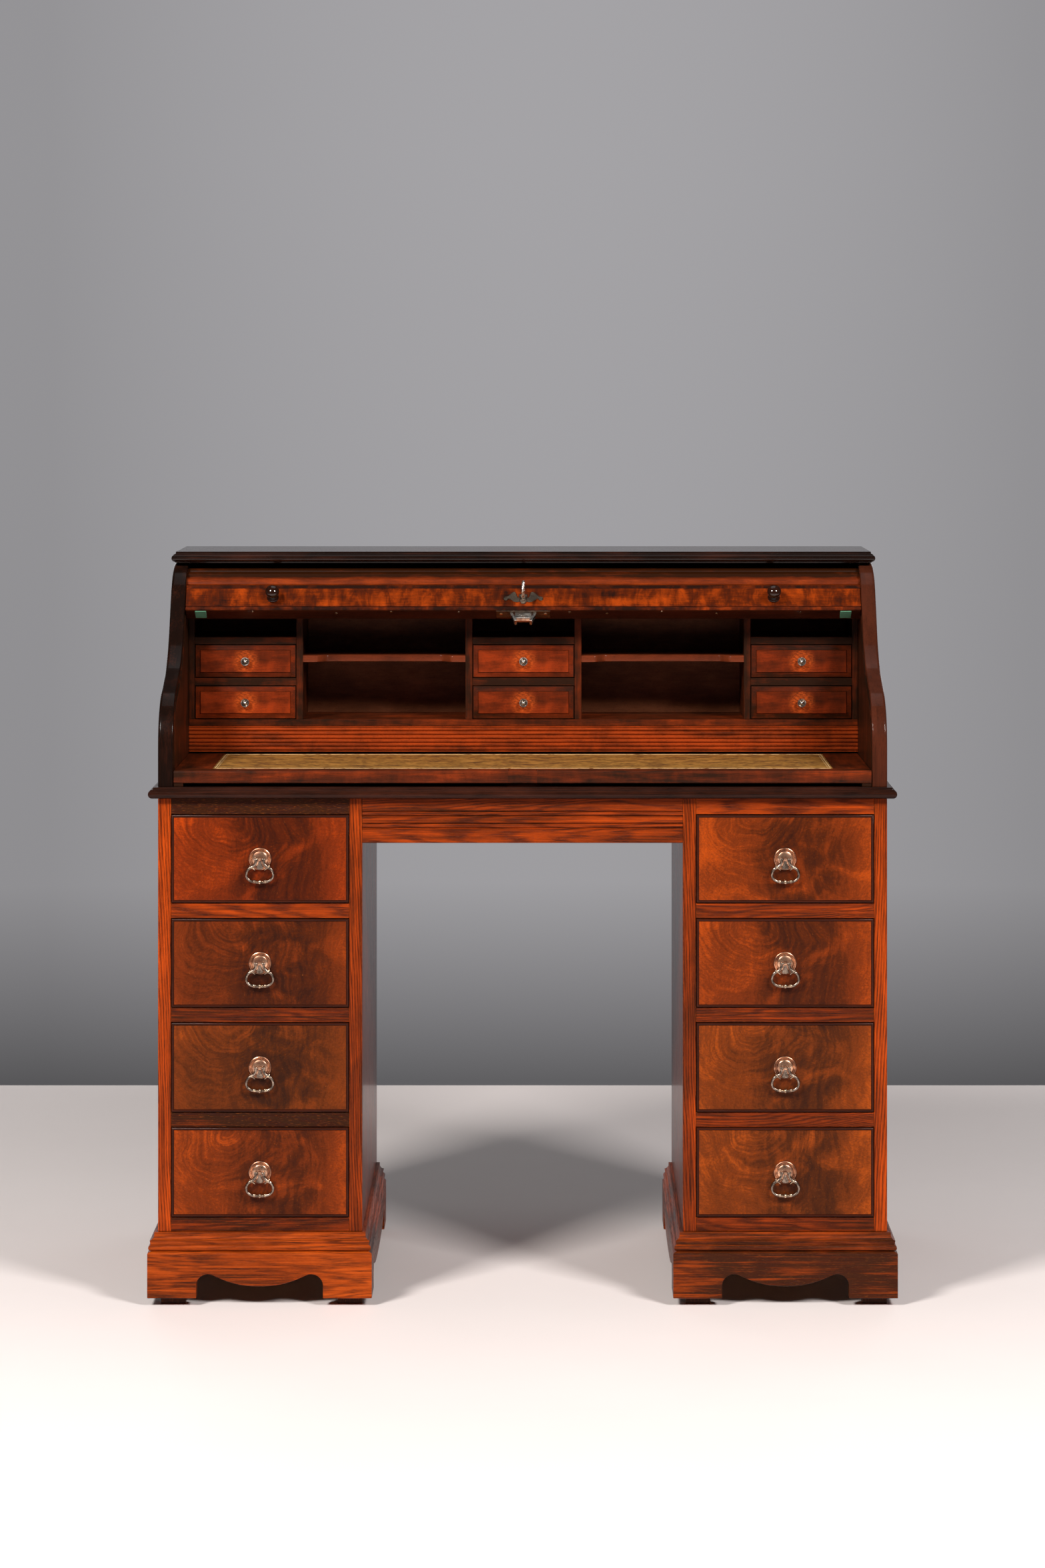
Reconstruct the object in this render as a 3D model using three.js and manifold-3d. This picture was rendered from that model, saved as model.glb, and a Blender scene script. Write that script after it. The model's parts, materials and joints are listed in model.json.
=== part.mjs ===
// Roll-top desk with two pedestals of drawers, an inner gallery and a slatted roll front.
// Millimetres, +Z up. Inside this file y runs back from the front plane of the pedestals,
// and the finished desk is shifted so that its origin is the middle of its footprint.
import * as THREE from 'three';
import { mergeVertices } from 'three/addons/utils/BufferGeometryUtils.js';
import Module from 'manifold-3d';

const wasm = await Module();
wasm.setup();

// ---- driving dimensions -------------------------------------------------------------

const GAP = 0.3; // clearance between pieces that rest on each other
const RUN = 0.7; // clearance round a drawer front

const PLINTH = { projection: 15, back: 570, low: 12, high: 109, board: 18 };
const PLINTH_MOULD = 29; // height of the moulding along the plinth's top
const FOOT = { size: 41, inset: 15, high: 46 };
const BRACKET = { foot: 73, lobe: 36, radius: 18, drop: 18, pull: 42 };
const LOBE_TURN = 0.62 * Math.PI; // how far round its circle a bracket's lobe runs

const PEDESTAL = { outer: 547, inner: 240.7, depth: 566, low: 109, high: 758.8, back: 12 };
const DRAWER_WIDTH = 266;
const DRAWER_HEIGHTS = [[602.5, 734.3], [445.9, 578.5], [288.8, 422.4], [131.4, 265.3]];
const DRAWER = { projection: 2.5, front: 20, bead: 4.5, side: 9, floor: 6, length: 500 };

const APRON = { low: 692, high: 758.8, thick: 20, groove: 1.4 };
const APRON_GROOVES = [714.4, 719.6, 732.8, 738];

const WORKTOP = { half: 561, front: -15, back: 570, low: 759.1, high: 776 };
const TOP_BOARD = { half: 550, front: 264, back: 470, low: 1100, high: 1117.4 };

const CHEEK = { outer: 547.5, inner: 524.5, back: 470, round: 3 };
const OVERSHOOT = 5; // how far a cutting tool reaches past the face it cuts
// the S curve of the roll front, from the worktop up: a rise, a knee, a slope, a hollow,
// a second slope, a brow that ends level, the flat top and the turn down at the back
const KNEE_START = 832.8;
const KNEE = { radius: 89.3, turn: 1.2186 };
const LOW_SLOPE = 60.4;
const HOLLOW = { radius: 149.9, turn: 0.6669 };
const HIGH_SLOPE = 64.8;
const BROW_RADIUS = 94.2;
const FLAT_TOP = 89.7;
const REAR_TURN_RADIUS = 67;
const REAR_DROP = 190;
const TRACK = { outer: 3.5, inner: 18.5, depth: 8, mouth: 30, turnStep: 0.2 };

const SLAT = { pitch: 17.8, thick: 8, joint: 2.5, canvas: 14, tongue: 6 };
const SECTIONS = [3, 2, 3, 2, 2, 2, 3, 2, 2, 2];
const LEAD = { height: 46.5, front: 11, back: 16, half: 523.7, bead: 2.6, lip: 7.3 };
const LEAD_OPEN = 355; // distance of the lead rail's foot along the track when open
const LEAD_SHUT = 25.5; // the same when the roll front is shut
const RAIL_KNOB = { x: 389, z: 22 };
const KEYHOLE = { z: 20.5, radius: 3 };

const GALLERY = { front: 286, back: 440, low: 843.7, high: 1044, half: 524.2, panel: 8 };
const STILE = 515.5; // inner face of the gallery's side stiles
const DIVIDERS = [[80, 91], [345.5, 356]];
const SHELVES = { floor: 853.8, lower: [906.7, 918.5], upper: [971.5, 982.9], top: 1034 };
const BAY_SHELF = { low: 943, high: 954.2, lug: 20, recess: 20, sweep: 35 };
const SMALL_DRAWERS = [[918.5, 971.5], [853.8, 906.7]];
const SMALL_COLUMNS = [
  { name: 'left', x: -435.75, width: 159.5 },
  { name: 'centre', x: 0, width: 160 },
  { name: 'right', x: 435.75, width: 159.5 },
];
const SMALL = { bevel: 9, raise: 2.5, front: 14, side: 6, length: 130, gap: 0.6, headroom: 10 };
const SMALL_KNOB_RADIUS = 7;

const FASCIA = { low: 803, high: 843.4, front: 286, thick: 12, reeds: 6, reed: 2 };
const SLIDE = { half: 523.6, back: 440, low: 781.3, high: 800.3, runner: 14 };
const LEATHER = { half: 468, margin: 36, back: 276, thick: 1 };
const STRIKE = { half: 22, front: 3, back: 31 };

const CASE_BACK = { front: 460.5, back: 469.5, low: 776.3, high: 1099.7 };

const ROSE_RADIUS = 17;
const BAIL = { stand: 8, wire: 1.8, pin: 1, bore: 1.4, knuckle: 2.6, barrel: 2.3, reach: 8.3 };
const BAIL_DROP = 34; // from the pin to the middle of the bottom bead

const LOCK_PLATE = { half: 42, front: -8, back: 12, thick: 1.5 };
const CATCH = { block: 13, drop: 13.6, clawTop: 20.5, clawFoot: 13.5, clawDrop: 16.4, wide: 4 };
const KEY = { shank: 2.2, collar: 3.4, inside: 14, outside: 24, bow: 19, thick: 5.6 };

const WOODS = {
  oak: new THREE.MeshStandardMaterial({ color: 0x9a3f16, roughness: 0.42 }),
  darkOak: new THREE.MeshStandardMaterial({ color: 0x2b1510, roughness: 0.3 }),
  mahogany: new THREE.MeshStandardMaterial({ color: 0x6a2410, roughness: 0.35 }),
  redWood: new THREE.MeshStandardMaterial({ color: 0x4a1a10, roughness: 0.38 }),
  slatWood: new THREE.MeshStandardMaterial({ color: 0x6e3212, roughness: 0.4 }),
};
const LEATHER_MATERIAL = new THREE.MeshStandardMaterial({ color: 0x6a5a2a, roughness: 0.5 });
const EBONY = new THREE.MeshStandardMaterial({ color: 0x140a08, roughness: 0.22 });
const COPPER = new THREE.MeshStandardMaterial({ color: 0x7a4a38, roughness: 0.35, metalness: 1 });
const GUNMETAL = new THREE.MeshStandardMaterial({ color: 0x4a4440, roughness: 0.3, metalness: 1 });
const BRONZE = new THREE.MeshStandardMaterial({ color: 0x4c3c2c, roughness: 0.4, metalness: 1 });
const STEEL = new THREE.MeshStandardMaterial({ color: 0xb4b0a8, roughness: 0.25, metalness: 1 });

// ---- helpers ------------------------------------------------------------------------

const desk = new THREE.Group();
const deskShift = (PLINTH.back - PLINTH.projection) / 2;
desk.position.y = -deskShift;

function place(name, geometry, material, parent = desk) {
  const mesh = new THREE.Mesh(geometry, material);
  mesh.name = name;
  parent.add(mesh);
  return mesh;
}

function box([x0, x1], [y0, y1], [z0, z1]) {
  const geometry = new THREE.BoxGeometry(x1 - x0, y1 - y0, z1 - z0);
  return geometry.translate((x0 + x1) / 2, (y0 + y1) / 2, (z0 + z1) / 2);
}

function toSolid(geometry) {
  const bare = geometry.clone();
  bare.deleteAttribute('normal');
  bare.deleteAttribute('uv');
  const merged = mergeVertices(bare, 1e-3);
  return new wasm.Manifold(new wasm.Mesh({
    numProp: 3,
    vertProperties: merged.attributes.position.array,
    triVerts: new Uint32Array(merged.index.array),
  }));
}

function toGeometry(solid) {
  const mesh = solid.getMesh();
  const geometry = new THREE.BufferGeometry();
  geometry.setAttribute('position', new THREE.BufferAttribute(mesh.vertProperties, 3));
  geometry.setIndex(new THREE.BufferAttribute(mesh.triVerts, 1));
  return geometry;
}

function join(geometries) {
  const solids = geometries.map(toSolid);
  return toGeometry(solids.reduce((whole, piece) => whole.add(piece)));
}

function cut(geometry, tools) {
  const solids = tools.map(toSolid);
  return toGeometry(solids.reduce((whole, tool) => whole.subtract(tool), toSolid(geometry)));
}

// a stack of rectangles joined into one solid; each ring is { x: [lo, hi], y: [lo, hi], z }
function rectangleLoft(rings) {
  const points = rings.flatMap(({ x, y, z }) => [
    [x[0], y[0], z], [x[1], y[0], z], [x[1], y[1], z], [x[0], y[1], z],
  ]);
  const faces = [0, 2, 1, 0, 3, 2];
  for (let i = 0; i + 1 < rings.length; i += 1) {
    for (let k = 0; k < 4; k += 1) {
      const a = 4 * i + k;
      const b = 4 * i + ((k + 1) % 4);
      faces.push(a, b, b + 4, a, b + 4, a + 4);
    }
  }
  const last = 4 * (rings.length - 1);
  faces.push(last, last + 1, last + 2, last, last + 2, last + 3);
  const geometry = new THREE.BufferGeometry();
  geometry.setAttribute('position', new THREE.Float32BufferAttribute(points.flat(), 3));
  geometry.setIndex(faces);
  return geometry;
}

// points of an arc, as [u, v], from one angle to another
function arc(u, v, radius, from, to, steps) {
  const points = [];
  for (let i = 0; i <= steps; i += 1) {
    const angle = from + ((to - from) * i) / steps;
    points.push([u + radius * Math.cos(angle), v + radius * Math.sin(angle)]);
  }
  return points;
}

function outline(points) {
  return new THREE.Shape(points.map(([u, v]) => new THREE.Vector2(u, v)));
}

// extrudes a side-view outline of (y, z) points from x0 to x1
function acrossX(shape, x0, x1, options = {}) {
  const depth = x1 - x0 - 2 * (options.bevelThickness ?? 0);
  const geometry = new THREE.ExtrudeGeometry(shape, {
    depth, bevelEnabled: false, curveSegments: 12, ...options,
  });
  const basis = new THREE.Matrix4().makeBasis(
    new THREE.Vector3(0, 1, 0), new THREE.Vector3(0, 0, 1), new THREE.Vector3(1, 0, 0),
  );
  geometry.applyMatrix4(basis);
  return geometry.translate(x0 + (options.bevelThickness ?? 0), 0, 0);
}

// extrudes a front-view outline of (x, z) points from y0 back to y1
function acrossY(shape, y0, y1, curveSegments = 12) {
  const geometry = new THREE.ExtrudeGeometry(shape, {
    depth: y1 - y0, bevelEnabled: false, curveSegments,
  });
  return geometry.rotateX(Math.PI / 2).translate(0, y1, 0);
}

// turns a lathe about +Y into one that stands out along -Y from the plane y = 0
function latheOut(profile, segments) {
  const points = profile.map(([radius, height]) => new THREE.Vector2(radius, height));
  return new THREE.LatheGeometry(points, segments).rotateX(Math.PI);
}

// ---- the S curve --------------------------------------------------------------------

// the roll front's curve, moved inwards by offset, as points no more than turnStep apart
function rollCurve(offset, turnStep, withTop = true) {
  const points = [new THREE.Vector2(offset, WORKTOP.high)];
  let heading = 0; // from upright, towards the back
  const forward = (length) => {
    const at = points[points.length - 1];
    const step = new THREE.Vector2(Math.sin(heading), Math.cos(heading));
    points.push(at.clone().addScaledVector(step, length));
  };
  const bend = (radius, turn) => {
    const steps = Math.ceil(Math.abs(turn) / turnStep);
    for (let i = 0; i < steps; i += 1) {
      heading += turn / steps / 2;
      forward(2 * radius * Math.sin(Math.abs(turn) / steps / 2));
      heading += turn / steps / 2;
    }
  };
  forward(KNEE_START - WORKTOP.high);
  bend(KNEE.radius - offset, KNEE.turn);
  forward(LOW_SLOPE);
  bend(HOLLOW.radius + offset, -HOLLOW.turn);
  forward(HIGH_SLOPE);
  bend(BROW_RADIUS - offset, Math.PI / 2 - heading);
  if (withTop) {
    forward(FLAT_TOP);
    bend(REAR_TURN_RADIUS - offset, Math.PI / 2);
    forward(REAR_DROP);
  }
  return points;
}

// the point at a distance along a polyline
function pointAlong(points, distance) {
  let left = distance;
  for (let i = 0; i + 1 < points.length; i += 1) {
    const length = points[i].distanceTo(points[i + 1]);
    if (left <= length) {
      return points[i].clone().lerp(points[i + 1], left / length);
    }
    left -= length;
  }
  return points[points.length - 1].clone();
}

// the distance along a polyline at which the straight line from a start measures chord
function stepChord(points, start, chord) {
  const from = pointAlong(points, start);
  let low = start;
  let high = start + 1.3 * chord;
  for (let i = 0; i < 40; i += 1) {
    const middle = (low + high) / 2;
    if (from.distanceTo(pointAlong(points, middle)) < chord) {
      low = middle;
    } else {
      high = middle;
    }
  }
  return low;
}

// ---- pedestals, plinths and apron ---------------------------------------------------

function pedestal(side) {
  const x = side < 0 ? [-PEDESTAL.outer, -PEDESTAL.inner] : [PEDESTAL.inner, PEDESTAL.outer];
  const centre = (x[0] + x[1]) / 2;
  const half = DRAWER_WIDTH / 2 + RUN;
  const pockets = DRAWER_HEIGHTS.map(([low, high]) => box(
    [centre - half, centre + half],
    [-1, PEDESTAL.depth - PEDESTAL.back],
    [low - RUN, high + RUN],
  ));
  return cut(box(x, [0, PEDESTAL.depth], [PEDESTAL.low + GAP, PEDESTAL.high]), pockets);
}

// the bracket cut-out between two feet: a lobe at each end and a sweep down in the middle
function bracketShape(centre, width) {
  const low = PLINTH.low - 1;
  const top = PLINTH.low + BRACKET.lobe;
  const drop = PLINTH.low + BRACKET.drop;
  const r = BRACKET.radius;
  const wall = width / 2;
  const lobe = wall - r;
  const shoulder = [lobe - 0.5 * r - 14, top - 0.5 * r];
  const lobeEnd = [lobe + r * Math.cos(LOBE_TURN), top - r + r * Math.sin(LOBE_TURN)];
  const shape = new THREE.Shape();
  shape.moveTo(centre - wall, low);
  shape.lineTo(centre + wall, low);
  shape.lineTo(centre + wall, top - r);
  shape.absarc(centre + lobe, top - r, r, 0, LOBE_TURN, false);
  shape.bezierCurveTo(
    centre + shoulder[0], shoulder[1], centre + lobe - BRACKET.pull, drop, centre, drop,
  );
  shape.bezierCurveTo(
    centre - lobe + BRACKET.pull, drop, centre - shoulder[0], shoulder[1],
    centre - lobeEnd[0], lobeEnd[1],
  );
  shape.absarc(centre - lobe, top - r, r, Math.PI - LOBE_TURN, Math.PI, false);
  shape.lineTo(centre - wall, low);
  return shape;
}

function plinth(side) {
  const inner = PEDESTAL.inner - PLINTH.projection;
  const outer = PEDESTAL.outer + PLINTH.projection;
  const x = side < 0 ? [-outer, -inner] : [inner, outer];
  const y = [-PLINTH.projection, PLINTH.back];
  const ring = (inset, z) => ({
    x: [x[0] + inset, x[1] - inset], y: [y[0] + inset, y[1] - Math.min(inset, 4)], z,
  });
  const mould = PLINTH.high - PLINTH_MOULD;
  const bead = arc(6.2, mould + 6.9, 4.6, 1.5 * Math.PI, Math.PI, 3).concat(
    arc(6.2, mould + 6.9, 4.6, Math.PI, 0.6 * Math.PI, 3).slice(1),
  );
  const cove = arc(1.5, PLINTH.high - 3, 8.5, -0.42 * Math.PI, 0, 5);
  const profile = [
    [1, PLINTH.low], [0, PLINTH.low + 1], [0, mould - 1.5], [1.5, mould], [3.2, mould + 0.8],
    ...bead, ...cove, [10, PLINTH.high],
  ];
  const body = rectangleLoft(profile.map(([inset, z]) => ring(inset, z)));
  const board = PLINTH.board;
  const hollow = box(
    [x[0] + board, x[1] - board], [y[0] + board, y[1] - board], [0, PLINTH.high + 1],
  );
  const centreX = (x[0] + x[1]) / 2;
  const centreY = (y[0] + y[1]) / 2;
  const widthX = x[1] - x[0] - 2 * BRACKET.foot;
  const widthY = y[1] - y[0] - 2 * BRACKET.foot;
  const front = acrossY(bracketShape(centreX, widthX), y[0] - 1, y[0] + board + 1);
  const sides = acrossX(bracketShape(centreY, widthY), x[0] - 1, x[1] + 1);
  const shell = toSolid(cut(body, [hollow, front, sides]));
  const feet = [];
  for (const cornerX of [x[0] + FOOT.inset, x[1] - FOOT.inset - FOOT.size]) {
    for (const cornerY of [y[0] + FOOT.inset, y[1] - FOOT.inset - FOOT.size]) {
      feet.push(box(
        [cornerX, cornerX + FOOT.size], [cornerY, cornerY + FOOT.size], [0, FOOT.high],
      ));
    }
  }
  return toGeometry(feet.map(toSolid).reduce((whole, foot) => whole.add(foot), shell));
}

function apron() {
  const points = [[0, APRON.low]];
  for (const z of APRON_GROOVES) {
    points.push([0, z - 1], [APRON.groove, z], [0, z + 1]);
  }
  points.push([0, APRON.high], [APRON.thick, APRON.high], [APRON.thick, APRON.low]);
  const half = PEDESTAL.inner - GAP;
  return acrossX(outline(points.reverse()), -half, half);
}

// ---- boards with moulded edges ------------------------------------------------------

// profile is [inset, z] from the underside up; the back edge stays square
function mouldedBoard(board, profile) {
  return rectangleLoft(profile.map(([inset, z]) => ({
    x: [-board.half + inset, board.half - inset], y: [board.front + inset, board.back], z,
  })));
}

function worktop() {
  const nose = arc(7, WORKTOP.low + 7, 7, 1.5 * Math.PI, 0.68 * Math.PI, 7);
  const cove = arc(4.2, WORKTOP.high - 0.8, 2.8, -0.5 * Math.PI, 0, 4);
  return mouldedBoard(WORKTOP, [...nose, ...cove, [7.8, WORKTOP.high]]);
}

function topBoard() {
  const nose = arc(5.5, TOP_BOARD.low + 7, 5.5, 1.5 * Math.PI, 0.68 * Math.PI, 6);
  const cove = arc(3.5, TOP_BOARD.high - 1.5, 3, -0.5 * Math.PI, 0, 3);
  return mouldedBoard(
    TOP_BOARD, [[5.5, TOP_BOARD.low], ...nose, ...cove, [6.5, TOP_BOARD.high]],
  );
}

// ---- roll-top case ------------------------------------------------------------------

function trackShape() {
  const outer = rollCurve(TRACK.outer, TRACK.turnStep);
  const inner = rollCurve(TRACK.inner, TRACK.turnStep);
  outer[0].y += TRACK.mouth;
  inner[0].y += TRACK.mouth;
  return new THREE.Shape([...outer, ...inner.reverse()].reverse());
}

function cheek(side) {
  const curve = rollCurve(0, 0.12, false);
  curve[0].y += GAP;
  const top = curve[curve.length - 1].y;
  const points = [
    ...curve, new THREE.Vector2(CHEEK.back, top), new THREE.Vector2(CHEEK.back, curve[0].y),
  ];
  const round = {
    bevelEnabled: true, bevelSegments: 2, bevelSize: CHEEK.round, bevelThickness: CHEEK.round,
    bevelOffset: -CHEEK.round,
  };
  const [x0, x1] = side < 0 ? [-CHEEK.outer, -CHEEK.inner] : [CHEEK.inner, CHEEK.outer];
  const board = acrossX(new THREE.Shape(points.reverse()), x0, x1, round);
  const reach = [side * (CHEEK.inner + TRACK.depth), side * (CHEEK.inner - OVERSHOOT)];
  return cut(board, [acrossX(trackShape(), Math.min(...reach), Math.max(...reach))]);
}

// the serpentine shelf across a bay: full depth at its two lugs, set back between them
function bayShelf(x0, x1) {
  const front = GALLERY.front;
  const back = front + BAY_SHELF.recess;
  const straight = BAY_SHELF.lug + BAY_SHELF.sweep;
  const shape = new THREE.Shape();
  shape.moveTo(x0, GALLERY.back - 1);
  shape.lineTo(x0, front);
  shape.lineTo(x0 + BAY_SHELF.lug, front);
  shape.bezierCurveTo(
    x0 + BAY_SHELF.lug + 3, back - 4, x0 + BAY_SHELF.lug + 12, back - 1, x0 + straight, back,
  );
  shape.lineTo(x1 - straight, back);
  shape.bezierCurveTo(
    x1 - BAY_SHELF.lug - 12, back - 1, x1 - BAY_SHELF.lug - 3, back - 4,
    x1 - BAY_SHELF.lug, front,
  );
  shape.lineTo(x1, front);
  shape.lineTo(x1, GALLERY.back - 1);
  const depth = BAY_SHELF.high - BAY_SHELF.low;
  const geometry = new THREE.ExtrudeGeometry(shape, {
    depth, bevelEnabled: false, curveSegments: 5,
  });
  return geometry.translate(0, 0, BAY_SHELF.low);
}

function gallery() {
  const whole = [-GALLERY.half, GALLERY.half];
  const depth = [GALLERY.front, GALLERY.back];
  const height = [GALLERY.low, GALLERY.high];
  const pieces = [
    box(whole, depth, [GALLERY.low, SHELVES.floor]),
    box(whole, depth, [SHELVES.top, GALLERY.high]),
    box(whole, [GALLERY.back - GALLERY.panel, GALLERY.back], height),
  ];
  for (const side of [-1, 1]) {
    for (const [near, far] of [[STILE, GALLERY.half], ...DIVIDERS]) {
      pieces.push(box([side * near, side * far].sort((a, b) => a - b), depth, height));
    }
    const bay = [side * (DIVIDERS[0][1] - 1), side * (DIVIDERS[1][0] + 1)];
    pieces.push(bayShelf(...bay.sort((a, b) => a - b)));
  }
  for (const { x, width } of SMALL_COLUMNS) {
    for (const shelf of [SHELVES.lower, SHELVES.upper]) {
      pieces.push(box([x - width / 2 - 1, x + width / 2 + 1], depth, shelf));
    }
  }
  return join(pieces);
}

function fascia() {
  const points = [[FASCIA.front + FASCIA.thick, FASCIA.low]];
  const reedHeight = (FASCIA.high - FASCIA.low - 4) / FASCIA.reeds;
  points.push([FASCIA.front + FASCIA.reed, FASCIA.low]);
  for (let i = 0; i < FASCIA.reeds; i += 1) {
    const low = FASCIA.low + 2 + i * reedHeight;
    for (const [part, rise] of [[0.04, 0], [0.2, 0.7], [0.5, 1], [0.8, 0.7], [0.96, 0]]) {
      points.push([FASCIA.front + FASCIA.reed * (1 - rise), low + part * reedHeight]);
    }
  }
  points.push([FASCIA.front + FASCIA.reed, FASCIA.high]);
  points.push([FASCIA.front + FASCIA.thick, FASCIA.high]);
  return acrossX(outline(points.reverse()), -GALLERY.half, GALLERY.half);
}

// ---- writing slide ------------------------------------------------------------------

function writingSlide() {
  const board = join([
    box([-SLIDE.half, SLIDE.half], [0, SLIDE.back], [SLIDE.low, SLIDE.high]),
    ...[-1, 1].map((side) => box(
      [side * SLIDE.half, side * (SLIDE.half - SLIDE.runner)].sort((a, b) => a - b),
      [2, SLIDE.back], [WORKTOP.high + GAP, SLIDE.low + 1],
    )),
  ]);
  const recess = box(
    [-LEATHER.half - GAP, LEATHER.half + GAP],
    [LEATHER.margin - GAP, LEATHER.back + GAP],
    [SLIDE.high - LEATHER.thick - GAP, SLIDE.high + 1],
  );
  const strike = box(
    [-STRIKE.half, STRIKE.half], [STRIKE.front, STRIKE.back], [SLIDE.low - 1, SLIDE.high + 1],
  );
  return cut(board, [recess, strike]);
}

function leather() {
  const ring = (inset, z) => ({
    x: [-LEATHER.half + inset, LEATHER.half - inset],
    y: [LEATHER.margin + inset, LEATHER.back - inset],
    z,
  });
  const low = SLIDE.high - LEATHER.thick;
  return rectangleLoft([ring(0, low), ring(0, SLIDE.high - 0.3), ring(0.4, SLIDE.high)]);
}

// ---- drawers ------------------------------------------------------------------------

// a plate that faces -Y, lofted from its back at y = thick to its face at y = 0;
// steps are [inset, y] from the back to the face
function facePlate(width, height, steps) {
  const rings = steps.map(([inset, y]) => ({
    x: [-width / 2 + inset, width / 2 - inset],
    y: [-height / 2 + inset, height / 2 - inset],
    z: -y,
  }));
  return rectangleLoft(rings).rotateX(Math.PI / 2);
}

function tray(width, height, length, side, floor) {
  const outer = box([-width / 2, width / 2], [0, length], [-height / 2, height / 2]);
  const inner = box(
    [-width / 2 + side, width / 2 - side], [side, length - side],
    [-height / 2 + floor, height / 2 + 1],
  );
  return cut(outer, [inner]);
}

function pedestalDrawer(height) {
  const { front, bead, side, floor, length } = DRAWER;
  const plate = facePlate(DRAWER_WIDTH, height, [
    [0, front], [0, 1.6], [0.5, 0.5], [1.6, 0], [bead - 1, 0], [bead, 0.6], [bead, 1.6],
  ]);
  const body = tray(DRAWER_WIDTH - 4, height - 14, length, side, floor);
  return join([plate, body.translate(0, front - 1, -2)]);
}

function smallDrawer(width, height) {
  const { bevel, raise, front, side, length } = SMALL;
  const plate = facePlate(width - 2 * SMALL.gap, height - 2 * SMALL.gap, [
    [0, front], [0, raise + 1.2], [1, raise], [1.6, raise], [bevel, 0.4], [bevel + 0.8, 0.4],
    [bevel + 1.2, 0],
  ]);
  const body = tray(width - 4, height - SMALL.headroom, length, side, side - 1);
  const knob = latheOut([
    [0, -3], [2.6, -3], [2.6, 4], [SMALL_KNOB_RADIUS - 0.5, 6], [SMALL_KNOB_RADIUS, 7.5],
    [SMALL_KNOB_RADIUS - 1, 9], [4.6, 8.6], [3, 10.4], [0, 11.2],
  ], 14);
  return join([plate, body.translate(0, front - 1, -1), knob]);
}

// ---- drawer handles -----------------------------------------------------------------

// the rose faces -Y from y = 0, with a knuckle that carries the bail's pin
function rose() {
  const disc = latheOut([
    [0, 0], [ROSE_RADIUS, 0], [ROSE_RADIUS, 1.2], [15, 2], [14.2, 3.2], [12.6, 2.8],
    [8, 4.4], [0, 4.9],
  ], 18);
  const knuckle = new THREE.CylinderGeometry(2.8, 2.8, 2 * BAIL.knuckle, 10);
  knuckle.rotateZ(Math.PI / 2).translate(0, -BAIL.stand, 0);
  const tongue = acrossY(outline([
    [-2.4, 2], [-5.2, -13], [-3, -15.6], [3, -15.6], [5.2, -13], [2.4, 2],
  ]), -6, -3);
  const neck = box([-BAIL.knuckle, BAIL.knuckle], [-BAIL.stand, -3], [-2.2, 2.2]);
  const bore = new THREE.CylinderGeometry(BAIL.bore, BAIL.bore, 20, 6);
  bore.rotateZ(Math.PI / 2).translate(0, -BAIL.stand, 0);
  return cut(join([disc, knuckle, tongue, neck]), [bore]);
}

// the bail hangs from a pin along X through the origin
function bail() {
  const half = [
    [6.2, 0], [6.3, -4], [7.6, -8.4], [11, -11.6], [15.8, -14.2], [19.2, -19], [19.6, -24.6],
    [16.4, -30], [10, -33.4],
  ];
  const points = [
    ...half, [0, -BAIL_DROP], ...half.map(([x, z]) => [-x, z]).reverse(),
  ].map(([x, z]) => new THREE.Vector3(x, 0, z));
  const section = new THREE.Shape();
  section.absarc(0, 0, BAIL.wire, 0, 2 * Math.PI);
  const wire = new THREE.ExtrudeGeometry(section, {
    steps: 26, bevelEnabled: false, curveSegments: 3,
    extrudePath: new THREE.CatmullRomCurve3(points),
  });
  const inner = BAIL.knuckle + GAP;
  const barrels = [-1, 1].map((side) => (
    new THREE.CylinderGeometry(BAIL.barrel, BAIL.barrel, BAIL.reach - inner, 8)
      .rotateZ(Math.PI / 2).translate((side * (BAIL.reach + inner)) / 2, 0, 0)
  ));
  const pin = new THREE.CylinderGeometry(BAIL.pin, BAIL.pin, 10, 6).rotateZ(Math.PI / 2);
  const beads = [[-7, 2.5], [0, 3.4], [7, 2.5]].map(([x, radius]) => (
    new THREE.SphereGeometry(radius, 6, 4).rotateZ(Math.PI / 2).translate(x, 0, -BAIL_DROP)
  ));
  return join([wire, ...barrels, pin, ...beads]);
}

// ---- roll front ---------------------------------------------------------------------

const track = rollCurve(SLAT.canvas, 0.02);

// puts a piece whose foot is at a distance along the track and whose chord is known
function seatOnTrack(start, chord) {
  const end = stepChord(track, start, chord);
  const foot = pointAlong(track, start);
  const head = pointAlong(track, end);
  return { foot, end, tilt: Math.atan2(head.x - foot.x, head.y - foot.y) };
}

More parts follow.
